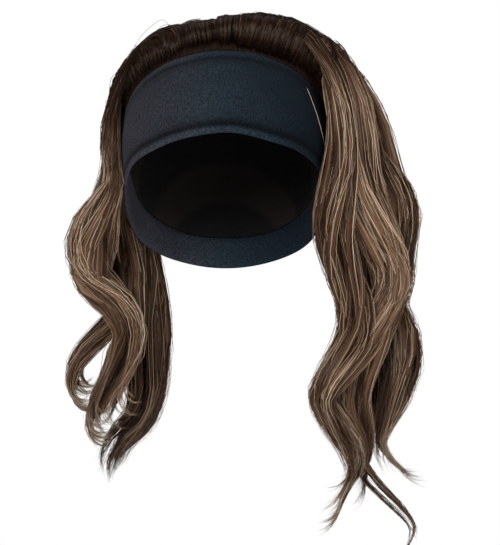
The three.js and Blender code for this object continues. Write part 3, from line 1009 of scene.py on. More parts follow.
@dataclass(frozen=True)
class Wisps:
    """Bundles of strands: their middle lines, and how far strands lie from them."""

    lines: np.ndarray
    side: np.ndarray
    half_side: np.ndarray
    half_fore: np.ndarray

    STEP = 14 * MM
    STEP_BEND = 16  # degrees
    TUBE_REACH = 0.97
    TUBE_STARTS = (-2 * MM, 30 * MM)
    TUBE_TAPER = 0.92

    def frames(self) -> tuple[np.ndarray, np.ndarray]:
        """Sideways and forward directions along each line, with no twist of their own."""
        along = unit(np.gradient(self.lines, axis=1))
        side = self.side
        sides = []
        for k in range(along.shape[1]):
            t = along[:, k]
            side = unit(side - np.sum(side * t, axis=-1, keepdims=True) * t)
            sides.append(side)
        across = np.stack(sides, axis=1)
        return across, np.cross(along, across)

    def effort(self) -> np.ndarray:
        """Length along each line, with more where it bends, so that points gather there."""
        step = np.diff(self.lines, axis=1)
        size = np.linalg.norm(step, axis=-1)
        heading = unit(step)
        bend = np.zeros_like(size)
        cosine = np.sum(heading[:, 1:] * heading[:, :-1], axis=-1)
        bend[:, 1:] = np.degrees(np.arccos(np.clip(cosine, -1, 1)))
        work = np.cumsum(size / self.STEP + bend / self.STEP_BEND, axis=1)
        return np.concatenate([np.zeros((len(work), 1)), work], axis=1)

    def reader(
        self, wisp: np.ndarray, reach: np.ndarray, points: int
    ) -> Callable[[np.ndarray], np.ndarray]:
        """Reads tables of the wisps at points along them.

        Args:
            wisp: which wisp each way follows.
            reach: share of the wisp that each way is long.
            points: points on each way.

        Returns:
            A function from a table with a value at each stop of each wisp to values on the ways.
        """
        work = self.effort()
        stops = self.lines.shape[1]
        index = np.empty((len(wisp), points))
        for k in range(len(self.lines)):
            mine = wisp == k
            at = reach[mine][:, None] * work[k, -1] * np.linspace(0, 1, points)[None]
            index[mine] = np.interp(at, work[k], np.arange(stops))
        low = np.minimum(index.astype(int), stops - 2)
        part = index - low

        def read(table: np.ndarray) -> np.ndarray:
            """Values on the ways."""
            first = table[wisp[:, None], low]
            second = table[wisp[:, None], low + 1]
            blend = part[..., None] if table.ndim == 3 else part
            return first + (second - first) * blend

        return read

    def tubes(self, points: int, slim: float) -> tuple["Strands", np.ndarray, np.ndarray]:
        """The wisps themselves, as tapering tubes.

        Args:
            points: points on each.
            slim: share of the wisp's section that its tube fills.

        Returns:
            The middle lines, and the half widths across and fore as vectors.
        """
        wisp = np.arange(len(self.lines))
        read = self.reader(wisp, np.full(len(wisp), self.TUBE_REACH), points)
        line = BAND.cleared(read(self.lines), slim * read(self.half_fore))
        gone = Wisps.distance(line)
        t = np.linspace(0, 1, points)[None]
        taper = 1 - self.TUBE_TAPER * smooth(t, 0.7, 1.0)
        size = slim * smooth(gone, *self.TUBE_STARTS) * taper
        across, fore = self.frames()
        across = unit(read(across)) * (read(self.half_side) * size)[..., None]
        fore = unit(read(fore)) * (read(self.half_fore) * size)[..., None]
        return Strands(line, gone, wisp, np.zeros(len(wisp), dtype=bool)), across, fore

    @staticmethod
    def distance(line: np.ndarray) -> np.ndarray:
        """Distance along each line from its first point."""
        length = np.linalg.norm(np.diff(line, axis=1), axis=-1)
        return np.concatenate([np.zeros((len(line), 1)), np.cumsum(length, axis=1)], axis=1)

    def strands(
        self,
        rng: np.random.Generator,
        count: int,
        points: int,
        shorter: float,
        loose: Looseness = Looseness(),
    ) -> "Strands":
        """Spreads strands over the wisps.

        Args:
            rng: source of chance.
            count: how many strands in all.
            points: points on each strand.
            shorter: how much shorter than its wisp a strand may be, as a share.
            loose: how they leave their wisp.

        Returns:
            The strands.
        """
        each = (count, 1)
        across, fore = self.frames()
        wisp = np.arange(count) % len(self.lines)
        reach = 1 - shorter * rng.uniform(0, 1, count) ** loose.shorter_power
        read = self.reader(wisp, reach, points)
        line = read(self.lines)
        gone = Wisps.distance(line)
        run = gone / MM
        out = np.sqrt(rng.uniform(0, 1, each))
        around = rng.uniform(0, math.tau, each)
        around = around + run * rng.uniform(-loose.winding, loose.winding, each)
        stray = rng.uniform(0, 1, each) < loose.stray_share
        far = rng.uniform(*loose.stray, each)
        size = np.where(stray, far, rng.uniform(*loose.usual, each)) * MM
        beat = run / rng.uniform(*loose.beat, each) + rng.uniform(0, math.tau, each)
        other = run / rng.uniform(*loose.beat, each) + rng.uniform(0, math.tau, each)
        swing = size * smooth(run, *loose.loosens)
        u = out * np.cos(around) * read(self.half_side) + swing * np.sin(beat)
        v = out * np.sin(around) * read(self.half_fore) + swing * np.sin(other)
        path = line + u[..., None] * read(across) + v[..., None] * read(fore)
        return Strands(BAND.cleared(path), gone, wisp, stray[:, 0])


@dataclass(frozen=True)
class Strands:
    """Loose strands: their points, the distance from the root, their wisp and which stray."""

    paths: np.ndarray
    gone: np.ndarray
    wisp: np.ndarray
    stray: np.ndarray

    def joined(self, other: "Strands") -> "Strands":
        """These strands and others, with the others' wisps numbered on."""
        return Strands(
            np.concatenate([self.paths, other.paths]),
            np.concatenate([self.gone, other.gone]),
            np.concatenate([self.wisp, other.wisp + self.wisp.max() + 1]),
            np.concatenate([self.stray, other.stray]),
        )


@dataclass(frozen=True)
class Bunching:
    """How the wisps of a lock gather in groups that wind round each other.

    Radii are shares of half the lock's width and depth. Pairs are ranges that chance or a smooth step
    runs over.
    """

    uneven_end: tuple[float, float] = (-0.05, 0.02)
    scatter: tuple[float, float] = (-15, 15)  # degrees
    turns: tuple[float, float] = (0.8, 1.2)
    sway: float = 0.35
    sway_beats: float = 1.7
    group_radius: tuple[float, float] = (0.4, 0.6)
    wisp_radius: tuple[float, float] = (0.08, 0.26)
    wisp_power: float = 0.7
    wisp_twist: float = 0.9
    ripple: float = 0.19
    ripple_from: tuple[float, float] = (0.05, 0.35)
    ripple_beats: tuple[float, float] = (1.6, 3.2)
    tightens: float = 0.35
    tightens_from: tuple[float, float] = (0.55, 1.0)
    outermost: float = 0.68
    crossing_scatter: tuple[float, float] = (-0.03, 0.03)


BUNCHING = Bunching()


@dataclass(frozen=True)
class Lock:
    """A hanging lock: its middle line, its size and how its strands lie. Sizes are in millimetres.

    rows hold down (share of length), side (share of sway), fore (share of push) and wide (share of
    width and depth), from root to tip.
    """

    name: str
    turn: float
    tilt: float
    lift: float
    length: float
    width: float
    depth: float
    rows: tuple[tuple[float, float, float, float], ...]
    sway: float = 20
    push: float = 30
    twist: float = 180
    strands: int = 600
    points: int = 24
    groups: int = 5
    wisps: int = 20
    roots: tuple[float, float] = (0, 60)
    inner_roots: tuple[float, float] = (-20, 90)
    back: tuple[float, float] = (0.1, 0.45)
    edge_share: float = 0.6
    climb: tuple[float, float] = (0.4, 0.75)
    shares: tuple[float, float] = (0.8, 0.94)
    settle: float = 0.6
    begins: tuple[float, float] = (0.02, 0.17)
    ends: tuple[float, float] = (0.86, 1.0)
    curl: float = 30
    curl_turn: float = 60
    tone: float = 0.5
    lit: tuple[float, float] = (-6, 58)
    seed: int = 1
    partner: "Lock | None" = None
    crossing: tuple[tuple[float, float], ...] = ((0, 0), (1, 0))
    crossing_share: float = 0.35

    ROOT_SHUFFLE = 6 * MM
    ROOT_LEAST = 4.0  # degrees
    ROOT_OVERLAP = 1.1
    ROOT_THICK = (0.8 * MM, 1.6 * MM)
    WISP_SIZE = (0.22, 0.42)
    THINS_BY = 0.55
    END_TAPER = 0.85
    EASE_ROUNDS = 30
    EASED_BEFORE = 14
    EASED_AFTER = 12

    def column(self, index: int) -> Column:
        """A column of rows, along down."""
        return Column(tuple(r[0] for r in self.rows), tuple(r[index] for r in self.rows))

    def middle(self, down: np.ndarray) -> np.ndarray:
        """Points on the middle line, in metres."""
        root = HEAD.point(self.turn, self.tilt, CAP_WALL + self.lift * MM)
        down = np.asarray(down, dtype=float)
        return np.stack(
            [
                root[0] + self.sway * MM * self.column(1).at(down),
                root[1] - self.push * MM * self.column(2).at(down),
                root[2] - self.length * MM * down,
            ],
            axis=-1,
        )

    def frame(self, down: np.ndarray) -> tuple[np.ndarray, np.ndarray, np.ndarray]:
        """Sideways and forward directions of the section, and its share of full size."""
        step = 0.01
        along = unit(self.middle(down + step) - self.middle(down - step))
        sideways = unit(np.cross(np.array([0.0, -1.0, 0.0]), along))
        return sideways, np.cross(along, sideways), self.column(3).at(down)

    def section(self, down: np.ndarray, u: np.ndarray, v: np.ndarray) -> np.ndarray:
        """Points of the lock, for shares u and v of half its width and half its depth."""
        sideways, forward, wide = self.frame(down)
        across = (u * wide * self.width / 2 * MM)[..., None] * sideways
        return self.middle(down) + across + (v * wide * self.depth / 2 * MM)[..., None] * forward

    def hanging(self, rng: np.random.Generator, points: int = 90) -> tuple[np.ndarray, np.ndarray]:
        """Middle lines of the wisps where the lock hangs.

        Args:
            rng: source of chance.
            points: points on each.

        Returns:
            Points (wisps, points, 3), and the share of the fall at each.
        """
        bunch = BUNCHING
        group = np.arange(self.wisps) % self.groups
        group_end = rng.uniform(*self.ends, self.groups)
        group_end[0] = self.ends[1]
        end = group_end[group] + rng.uniform(*bunch.uneven_end, self.wisps)
        end = np.minimum(self.ends[1], end)
        begin = rng.uniform(*self.begins, self.wisps)[:, None]
        down = begin + (end[:, None] - begin) * np.linspace(0, 1, points)[None]
        start = group * 360 / self.groups + rng.uniform(*bunch.scatter, self.groups)[group]
        turns = rng.uniform(*bunch.turns, self.groups)[group][:, None]
        sway = rng.uniform(0, math.tau, (2, self.groups))[:, group, None]
        angle = np.radians(start[:, None] + self.twist * turns * down)
        angle = angle + bunch.sway * np.sin(math.tau * bunch.sway_beats * down + sway[0])
        far = rng.uniform(*bunch.group_radius, self.groups)[group][:, None]
        least, more = bunch.wisp_radius
        near = (least + more * rng.uniform(0, 1, self.wisps) ** bunch.wisp_power)[:, None]
        inner = rng.uniform(0, math.tau, self.wisps)[:, None]
        inner = inner + np.radians(self.twist * bunch.wisp_twist) * down
        ripple = rng.uniform(0, math.tau, (2, self.wisps))[..., None]
        beat = math.tau * rng.uniform(*bunch.ripple_beats, self.wisps)[:, None] * down
        move = bunch.ripple * smooth(down, *bunch.ripple_from)
        near = near * (1 - bunch.tightens * smooth(down, *bunch.tightens_from))
        u = far * np.cos(angle) + near * np.cos(inner) + move * np.sin(beat + ripple[0])
        v = far * np.sin(angle) + near * np.sin(inner) + move * np.sin(beat + ripple[1])
        size = np.maximum(1.0, np.hypot(u, v) / bunch.outermost)
        lines = self.section(down, u / size, v / size)
        if self.partner is not None:
            # Some wisps cross to the lock beside this one and back, in front of both.
            places, shares = zip(*self.crossing)
            scatter = rng.uniform(*bunch.crossing_scatter, (self.wisps, 1))
            moved = Column(places, shares).at(down + scatter)
            crosses = rng.uniform(0, 1, (self.wisps, 1)) < self.crossing_share
            beside = self.partner.section(down, u / size, np.abs(v / size) * 0.5 + 0.4)
            lines = lines + (moved * crosses)[..., None] * (beside - lines)
        return lines, down

    def curled(self, rng: np.random.Generator, lines: np.ndarray, points: int = 14) -> np.ndarray:
        """Curled ends of the wisps, past where they stop hanging.

        Args:
            rng: source of chance.
            lines: hanging part of each wisp, (wisps, points, 3).
            points: points on each end.

        Returns:
            Points, (wisps, points, 3).
        """
        heading = unit(lines[:, -1] - lines[:, -3])
        lean = rng.uniform(-0.5, 0.5, (self.wisps, 3))
        axis = unit(np.array([0.0, 1.0, 0.0]) + lean)
        axis = unit(axis - np.sum(axis * heading, axis=-1, keepdims=True) * heading)
        side = np.cross(axis, heading)
        length = self.curl * MM * rng.uniform(0.7, 1.2, self.wisps)
        total = np.radians(self.curl_turn * rng.uniform(0.75, 1.2, self.wisps))
        place = lines[:, -1]
        made = []
        for k in range(points):
            angle = (total * ((k + 0.5) / points) ** 1.3)[:, None]
            onward = np.cos(angle) * heading + np.sin(angle) * side
            place = place + (length / points)[:, None] * onward
            made.append(place)
        return np.stack(made, axis=1)

    def build_wisps(self, rng: np.random.Generator) -> Wisps:
        """Whole wisps, from root to tip.

        Args:
            rng: source of chance.

        Returns:
            The wisps.
        """
        hanging, down = self.hanging(rng)
        first = hanging[:, 0]
        # Wisps that hang outermost are rooted nearest, with a little chance in it.
        away = np.linalg.norm(first - HEAD.centre(), axis=-1)
        order = np.argsort(away + rng.uniform(0, self.ROOT_SHUFFLE, self.wisps))
        rank = np.argsort(order) / max(1, self.wisps - 1)
        at_edge = rng.permutation(self.wisps) < self.edge_share * self.wisps
        near = np.where(at_edge, self.roots[1], self.inner_roots[1])
        far = np.where(at_edge, self.roots[0], self.inner_roots[0])
        root_turn = near + (far - near) * rank
        back = np.where(at_edge, 0.0, rng.uniform(*self.back, self.wisps))
        share = rng.uniform(*self.shares, self.wisps)
        high = np.clip(0.5 * rank + 0.5 * rng.uniform(0, 1, self.wisps), 0, 1)
        climb = self.climb[0] + (self.climb[1] - self.climb[0]) * high
        crown = PATHS.over(root_turn, back, first, share, climb, self.settle)[:, :-1]
        ends = self.curled(rng, hanging)
        lines = np.concatenate([crown, hanging, ends], axis=1)
        joint = slice(crown.shape[1] - self.EASED_BEFORE, crown.shape[1] + self.EASED_AFTER)
        for _ in range(self.EASE_ROUNDS):
            eased = 0.25 * lines[:, :-2] + 0.5 * lines[:, 1:-1] + 0.25 * lines[:, 2:]
            lines[:, joint] = eased[:, joint.start - 1 : joint.stop - 1]
        full = rng.uniform(*self.WISP_SIZE, (self.wisps, 1))
        half_side, half_fore = self.wisp_sizes(full, down, crown.shape[1], ends.shape[1])
        return Wisps(lines, BAND.direction(root_turn), half_side, half_fore)

    def wisp_sizes(
        self, full: np.ndarray, down: np.ndarray, on_crown: int, on_end: int
    ) -> tuple[np.ndarray, np.ndarray]:
        """Half width and half depth along each wisp: flat over the crown, and thin at its end.

        Args:
            full: share of half the lock's size that each wisp fills, (wisps, 1).
            down: share of the fall at each point where it hangs, (wisps, points).
            on_crown: points of each that lie over the crown.
            on_end: points of each that lie on the curled end.

        Returns:
            The half widths and half depths, in metres.
        """
        full = full * (1 - self.THINS_BY * smooth(down, 0.6, 1.0))
        wide = self.column(3).at(down)
        hang_side = full * wide * self.width / 2 * MM
        hang_fore = full * wide * self.depth / 2 * MM
        s = np.linspace(0, 1, on_crown)[None]
        over = smooth(s, 0.35, 1.0)
        reach = np.radians(max(self.ROOT_LEAST, abs(self.roots[1] - self.roots[0]) / self.wisps))
        flat_side = reach * self.ROOT_OVERLAP * HEAD.crown_height
        flat_fore = self.ROOT_THICK[0] + self.ROOT_THICK[1] * smooth(s, 0, 0.4)
        crown_side = flat_side * (1 - over) + hang_side[:, :1] * over
        crown_fore = flat_fore * (1 - over) + hang_fore[:, :1] * over
        shrinks = 1 - self.END_TAPER * np.linspace(0, 1, on_end)[None]
        return (
            np.concatenate([crown_side, hang_side, hang_side[:, -1:] * shrinks], axis=1),
            np.concatenate([crown_fore, hang_fore, hang_fore[:, -1:] * shrinks], axis=1),
        )

    def depth_at(self, paths: np.ndarray) -> np.ndarray:
        """How far out points lie: 0 on the lock's middle line, 1 at its face or over the crown."""
        root = self.middle(np.array(0.0))
        down = (root[2] - paths[..., 2]) / (self.length * MM)
        inside = np.clip(down, 0, 1)
        sideways, forward, wide = self.frame(inside)
        off = paths - self.middle(inside)
        u = np.sum(off * sideways, axis=-1) / (wide * self.width / 2 * MM)
        v = np.sum(off * forward, axis=-1) / (wide * self.depth / 2 * MM)
        hung = smooth(down, 0.0, 0.14)
        return 1 + (np.minimum(1, np.hypot(u, v)) - 1) * hung


@dataclass
class HairPainter:
    """Gives strands their thickness and their colour. Pairs are ranges for chance or a smooth step."""

    tones: HairTones = field(default_factory=HairTones)
    thickness: float = 0.21 * MM
    bright_share: float = 0.38
    dark_share: float = 0.30
    pale_share: float = 0.13
    early: float = 0.66
    early_from: tuple[float, float] = (10 * MM, 28 * MM)
    rooted: float = 18 * MM
    grown: float = 80 * MM
    root_level: float = 0.08
    wisp_spread: float = 0.075
    strand_spread: float = 0.07
    brighter: tuple[float, float] = (0.08, 0.42)
    darker: tuple[float, float] = (0.12, 0.32)
    late: tuple[float, float] = (0.8, 1.35)
    lower: tuple[float, float] = (0.8, 1.25)
    # Share of the colour kept deepest in a lock: painted shade, which lifts to full colour at its face.
    shade: float = 0.45
    drift: float = 0.045
    drift_length: float = 28 * MM
    stray_thickness: float = 0.62
    uneven: tuple[float, float] = (0.72, 1.22)

    def thick(self, rng: np.random.Generator, strands: Strands) -> np.ndarray:
        """Radius at each point, tapering to the tip."""
        count, points = strands.gone.shape
        t = np.linspace(0, 1, points)[None, :]
        taper = (0.8 + 0.2 * smooth(t, 0, 0.15)) * (1 - 0.7 * smooth(t, 0.75, 1.0))
        own = np.where(strands.stray, self.stray_thickness, 1.0) * rng.uniform(*self.uneven, count)
        return self.thickness * own[:, None] * taper

    def colour(
        self,
        rng: np.random.Generator,
        strands: Strands,
        base: float,
        lit: tuple[float, float],
        depth: np.ndarray | float = 1.0,
        mixed: bool = True,
    ) -> np.ndarray:
        """Colour at each point.

        Args:
            rng: source of chance.
            strands: the strands.
            base: usual level of the lengths.
            lit: millimetres below the crown where the hair begins and ends to lighten.
            depth: how far out each point lies in its lock, 0 to 1. Points deep inside are darkened as
                painted shade.
            mixed: whether light and dark ones lie among the rest.

        Returns:
            Linear colours, (strands, points, 3).
        """
        count = len(strands.wisp)
        wisp = rng.normal(0, self.wisp_spread, strands.wisp.max() + 1)[strands.wisp]
        level = base + wisp + rng.normal(0, self.strand_spread if mixed else 0.0, count)
        chance = rng.uniform(0, 1, count) if mixed else np.full(count, 0.5)
        brighter = level + rng.uniform(*self.brighter, count)
        level = np.where(chance < self.bright_share, brighter, level)
        darker = level - rng.uniform(*self.darker, count)
        level = np.where(chance > 1 - self.dark_share, darker, level)
        late = rng.uniform(*self.late, (count, 1))
        below = -strands.paths[..., 2] / MM * rng.uniform(*self.lower, (count, 1))
        grown = smooth(strands.gone, self.rooted * late, self.grown * late) * smooth(below, *lit)
        grown = self.root_level + (1 - self.root_level) * grown
        pale = (chance < self.pale_share)[:, None]
        early = self.early * smooth(strands.gone, *self.early_from)
        grown = np.where(pale, np.maximum(grown, early), grown)
        # Painted shade: points deep inside a lock are darkened.
        grown = grown * (self.shade + (1 - self.shade) * smooth(depth, 0.4, 0.95))
        phase = rng.uniform(0, math.tau, (count, 1))
        drift = self.drift * np.sin(strands.gone / self.drift_length + phase)
        return self.tones.colour(np.clip((level[:, None] + drift) * grown, 0.02, 1.0))


@dataclass(frozen=True)
class HairFinishes:
    """The finishes that hair is made in."""

    strand: bpy.types.Material
    wisp: bpy.types.Material
    crown_wisp: bpy.types.Material
    # Near-black dense hair: painted shade inside the hair.
    under: bpy.types.Material


class HangingHair:
    """The locks that hang on both sides."""

    RIGHT_MIDDLE = Lock(
        name="right_middle_lock", turn=87, tilt=66, lift=25, length=330, width=38, depth=40, push=25,
        twist=-170, strands=780, points=25, groups=5, wisps=56, roots=(14, 66), inner_roots=(30, 110),
        shares=(0.92, 0.99), climb=(0.45, 0.8), curl=26, curl_turn=70, tone=0.52, seed=12,
        rows=(
            (0, 0, 0, 0.7), (0.1, 0.42, 0.35, 0.76), (0.2, 0.5, 0.5, 0.8), (0.28, 0.9, 0.45, 0.96),
            (0.36, 1.35, 0.4, 1), (0.44, 1.6, 0.45, 0.92), (0.52, 1.4, 0.65, 0.8), (0.6, 0.9, 0.9, 0.86),
            (0.68, 0.25, 1.05, 0.9), (0.75, 0.05, 1, 0.86), (0.82, 0.4, 0.9, 0.72), (0.88, 0.45, 0.95, 0.52),
            (0.94, -0.1, 1.1, 0.26), (1, -0.45, 1.2, 0.07),
        ),
    )
    RIGHT_FRONT = Lock(
        name="right_front_lock", turn=70, tilt=62, lift=15, length=318, width=36, depth=38, twist=150,
        strands=820, points=25, groups=5, wisps=56, roots=(26, 82), inner_roots=(50, 105),
        curl=26, curl_turn=50, tone=0.56, seed=11, partner=RIGHT_MIDDLE, crossing_share=0.45,
        crossing=((0, 0), (0.12, 0), (0.4, 1), (0.5, 1), (0.72, 0), (0.77, 0), (0.9, 0.8), (1, 0.8)),
        rows=(
            (0, 0, 0, 0.7), (0.1, 0.4, 0.45, 0.76), (0.2, 0.35, 0.65, 0.86), (0.29, 0.1, 0.8, 1),
            (0.38, 0.1, 0.7, 1), (0.46, 0.45, 0.5, 0.96), (0.54, 0.85, 0.5, 0.86), (0.62, 0.8, 0.7, 0.84),
            (0.7, 0.1, 0.95, 0.82), (0.77, -0.4, 1, 0.76), (0.83, -0.1, 0.85, 0.62), (0.89, 0.5, 0.7, 0.54),
            (0.95, 0.75, 0.7, 0.42), (1, 0.35, 0.8, 0.1),
        ),
    )
    RIGHT_TAIL = Lock(
        name="right_curl", turn=87, tilt=66, lift=25, length=356, width=23, depth=18, push=25, twist=60,
        strands=150, points=28, groups=2, wisps=7, roots=(10, 40), ends=(0.93, 1.0), curl=16,
        curl_turn=45, tone=0.4, seed=13,
        rows=(
            (0, 0, 0, 0.8), (0.2, 0.5, 0.5, 0.8), (0.36, 1.3, 0.5, 0.8), (0.46, 1.2, 0.6, 0.8),
            (0.56, 0.7, 0.8, 0.7), (0.64, 0.3, 0.9, 0.95), (0.72, 0, 0.9, 1), (0.79, 0.1, 0.9, 0.95),
            (0.845, 0.5, 1, 0.9), (0.89, 1.2, 1.1, 0.8), (0.93, 1.95, 1.2, 0.66), (0.965, 2.4, 1.1, 0.46),
            (1, 2.3, 1, 0.14),
        ),
    )
    RIGHT_OUTER = Lock(
        name="right_outer_lock", turn=107, tilt=78, lift=26, length=278, width=41, depth=50, twist=130,
        strands=600, points=23, groups=5, wisps=44, roots=(6, 62), inner_roots=(50, 140),
        shares=(0.95, 1.0), climb=(0.6, 0.95), curl=26, curl_turn=-60, tone=0.44, seed=14,
        rows=(
            (0, 0, 0, 0.6), (0.1, 0.55, 0.3, 0.74), (0.2, 1.4, 0.6, 0.96), (0.28, 1.75, 0.75, 1),
            (0.36, 1.7, 0.8, 0.84), (0.45, 1.65, 0.85, 0.8), (0.54, 1.5, 0.95, 0.66),
            (0.62, 1.85, 1.1, 0.84), (0.7, 1.95, 1.2, 0.86), (0.78, 1.65, 1.3, 0.76),
            (0.86, 1.3, 1.4, 0.52), (0.93, 1.05, 1.45, 0.3), (1, 1.75, 1.5, 0.07),
        ),
    )
    RIGHT_BACK = Lock(
        name="right_back_lock", turn=128, tilt=95, lift=15, length=260, width=44, depth=54, twist=-120,
        strands=420, points=20, groups=5, wisps=40, roots=(60, 140), inner_roots=(60, 180), back=(0.1, 0.9),
        edge_share=0.1, tone=0.38, seed=15,
        rows=(
            (0, 0, 0, 0.8), (0.14, 0.55, 0.1, 0.9), (0.28, 1, 0.25, 1), (0.42, 1.15, 0.5, 0.9),
            (0.56, 1.5, 0.6, 0.86), (0.7, 1.85, 0.8, 0.86), (0.84, 1.5, 1, 0.6), (1, 1.6, 1.1, 0.1),
        ),
    )
    LEFT_FRONT = Lock(
        name="left_front_lock", turn=-82, tilt=74, lift=12, length=248, width=48, depth=38, push=20,
        twist=-190, strands=740, points=25, groups=5, wisps=56, roots=(-34, -90), inner_roots=(-54, -120),
        shares=(0.66, 0.84), curl=34, curl_turn=-140, tone=0.58, lit=(35, 140), seed=21,
        rows=(
            (0, 0, 0, 0.4), (0.11, -0.05, 0.3, 0.42), (0.21, 0.2, 0.7, 0.36), (0.29, -0.17, 0.9, 0.62),
            (0.37, -0.62, 0.8, 0.9), (0.45, -0.82, 0.5, 1), (0.53, -0.66, 0.2, 0.9), (0.61, 0.22, 0.1, 0.74),
            (0.69, 0.68, 0.3, 0.66), (0.77, 0.5, 0.7, 0.72), (0.85, 0.1, 1, 0.62), (0.91, -0.42, 1, 0.44),
            (0.96, -0.75, 0.8, 0.27), (1, -0.85, 0.5, 0.08),
        ),
    )
    LEFT_OUTER = Lock(
        name="left_outer_lock", turn=-101, tilt=78, lift=13, length=222, width=36, depth=44, push=20,
        twist=140, strands=360, points=24, groups=4, wisps=34, roots=(-26, -104), inner_roots=(-60, -140),
        shares=(0.62, 0.8), curl=44, curl_turn=-190, tone=0.52, lit=(35, 140), seed=22,
        rows=(
            (0, 0, 0, 0.5), (0.15, -0.05, 0, 0.5), (0.3, -0.4, -0.1, 0.76), (0.46, -0.75, -0.3, 1),
            (0.6, -0.2, -0.4, 0.8), (0.7, 0.1, -0.2, 0.64), (0.78, -0.65, 0, 0.6), (0.85, -1.3, 0.3, 0.54),
            (0.93, -1.6, 0.5, 0.36), (1, -1.45, 0.6, 0.08),
        ),
    )
    LEFT_INNER = Lock(
        name="left_inner_lock", turn=-114, tilt=86, lift=10, length=216, width=34, depth=42, push=20,
        twist=-120, strands=290, points=20, groups=4, wisps=28, roots=(-60, -125),
        inner_roots=(-30, -150), edge_share=0.3, curl=26, curl_turn=90, tone=0.42, lit=(35, 140), seed=23,
        rows=(
            (0, 0, 0, 0.6), (0.2, 0.1, 0.1, 0.7), (0.36, 0.2, 0.3, 0.8), (0.5, 0.3, 0.6, 0.9),
            (0.64, 0.45, 0.6, 0.95), (0.76, 0.35, 0.6, 0.8), (0.88, 0.1, 0.8, 0.55), (1, -0.2, 1, 0.1),
        ),
    )
    LEFT_BACK = Lock(
        name="left_back_lock", turn=-131, tilt=97, lift=10, length=253, width=40, depth=50, twist=130,
        strands=500, points=22, groups=5, wisps=40, roots=(-60, -140), inner_roots=(-60, -180),
        back=(0.1, 0.9), edge_share=0.1, curl=10, curl_turn=20, ends=(0.95, 1.0), tone=0.42,
        lit=(35, 140), seed=24,
        rows=(
            (0, 0, 0, 0.8), (0.18, 0.15, 0.1, 0.86), (0.3, 0.3, 0.2, 0.86), (0.42, 0.6, 0.3, 0.86),
            (0.53, 0.7, 0.4, 0.9), (0.63, 0.65, 0.5, 0.95), (0.73, 0.5, 0.6, 1), (0.81, 0.2, 0.75, 0.98),
            (0.89, -0.5, 0.9, 0.9), (0.95, -0.85, 1, 0.7), (1, -0.9, 1, 0.24),
        ),
    )
    LOCKS = (
        RIGHT_FRONT, RIGHT_MIDDLE, RIGHT_TAIL, RIGHT_OUTER, RIGHT_BACK,
        LEFT_FRONT, LEFT_OUTER, LEFT_INNER, LEFT_BACK,
    )
    CORE_SHARE = 0.5
    CORE_STEPS = 10
    CORE_STOPS = 26
    SHORTER = 0.16
    WISP_POINTS = 30
    WISP_SIDES = 7
    WISP_ROWS = 4
    WISP_SHARE = 0.58
    WISP_DARKER = 0.15

    def __init__(self, finishes: HairFinishes, painter: HairPainter) -> None:
        """Keeps the finishes and the painter."""
        self.finishes = finishes
        self.painter = painter

    def core(self, lock: Lock) -> bpy.types.Mesh:
        """Dense hair in the middle of a lock, so that no light shows through it. Its near-black finish is
        painted shade for the inside of the lock.

        Args:
            lock: the lock.

        Returns:
            A closed mesh.
        """
        stops = np.linspace(0, 1, self.CORE_STOPS)
        profile = [(0.0, 0.0)] + [(1.0, float(a)) for a in stops[1:-1]] + [(0.0, 1.0)]
        bm = spun_ring(profile, self.CORE_STEPS, closed=False)
        layer = bm.loops.layers.uv.new(UV_MAP)
        for face in bm.faces:
            for corner, turn in zip(face.loops, unrolled_turns(face)):
                corner[layer].uv = (0.99 * turn, corner.vert.co.z)

        def place(turn: float, radius: float, down: float) -> np.ndarray:
            """Point of the core, which is slim at its root and its tip."""
            a = math.radians(turn)
            size = radius * self.CORE_SHARE * (0.35 + 0.65 * float(smooth(down, 0, 0.12)))
            size *= 1 - 0.8 * float(smooth(down, 0.7, 1.0))
            fall = np.array(down * lock.ends[0])
            return lock.section(fall, np.array(size * math.sin(a)), np.array(size * math.cos(a)))

        place_ring(bm, place)
        return finished(bm, lock.name + "_painted_shade_under_hair", self.finishes.under)

    def loose(self, lock: Lock) -> list[bpy.types.Object]:
        """Strands of a lock, and the wisps under them.

        Args:
            lock: the lock.

        Returns:
            The two pieces.
        """
        rng = np.random.default_rng(lock.seed)
        wisps = lock.build_wisps(rng)
        strands = wisps.strands(rng, lock.strands, lock.points, self.SHORTER)
        # Strands deep in the lock get painted shade from their depth.
        tones = self.painter.colour(rng, strands, lock.tone, lock.lit, lock.depth_at(strands.paths))
        across, fore = round_section(strands.paths, self.painter.thick(rng, strands))
        single = TubeMesh(strands.paths, across, fore, tones)
        lines, across, fore = wisps.tubes(self.WISP_POINTS, self.WISP_SHARE)
        # Wisps deep in the lock get painted shade from their depth as well.
        depth = lock.depth_at(lines.paths)
        dark = lock.tone - self.WISP_DARKER
        tones = self.painter.colour(rng, lines, dark, lock.lit, depth, False)
        tubes = TubeMesh(lines.paths, across, fore, tones, self.WISP_SIDES, self.WISP_ROWS, True)
        nodes = () if lock is self.RIGHT_TAIL else (lock.name,)
        made = []
        for kind, form, finish in (
            ("_strands", single, self.finishes.strand),
            ("_wisps", tubes, self.finishes.wisp),
        ):
            name = lock.name + kind
            made.append(link_piece(form.build(name, finish), name, Slot.HAIR, *nodes))
        return made

    def build(self) -> list[bpy.types.Object]:
        """Makes every lock.

        Returns:
            The pieces.
        """
        made = []
        for lock in self.LOCKS:
            made += self.loose(lock)
            if lock is not self.RIGHT_TAIL:
                core = self.core(lock)
                made.append(link_piece(core, core.name, Slot.HAIR, lock.name))
        return made


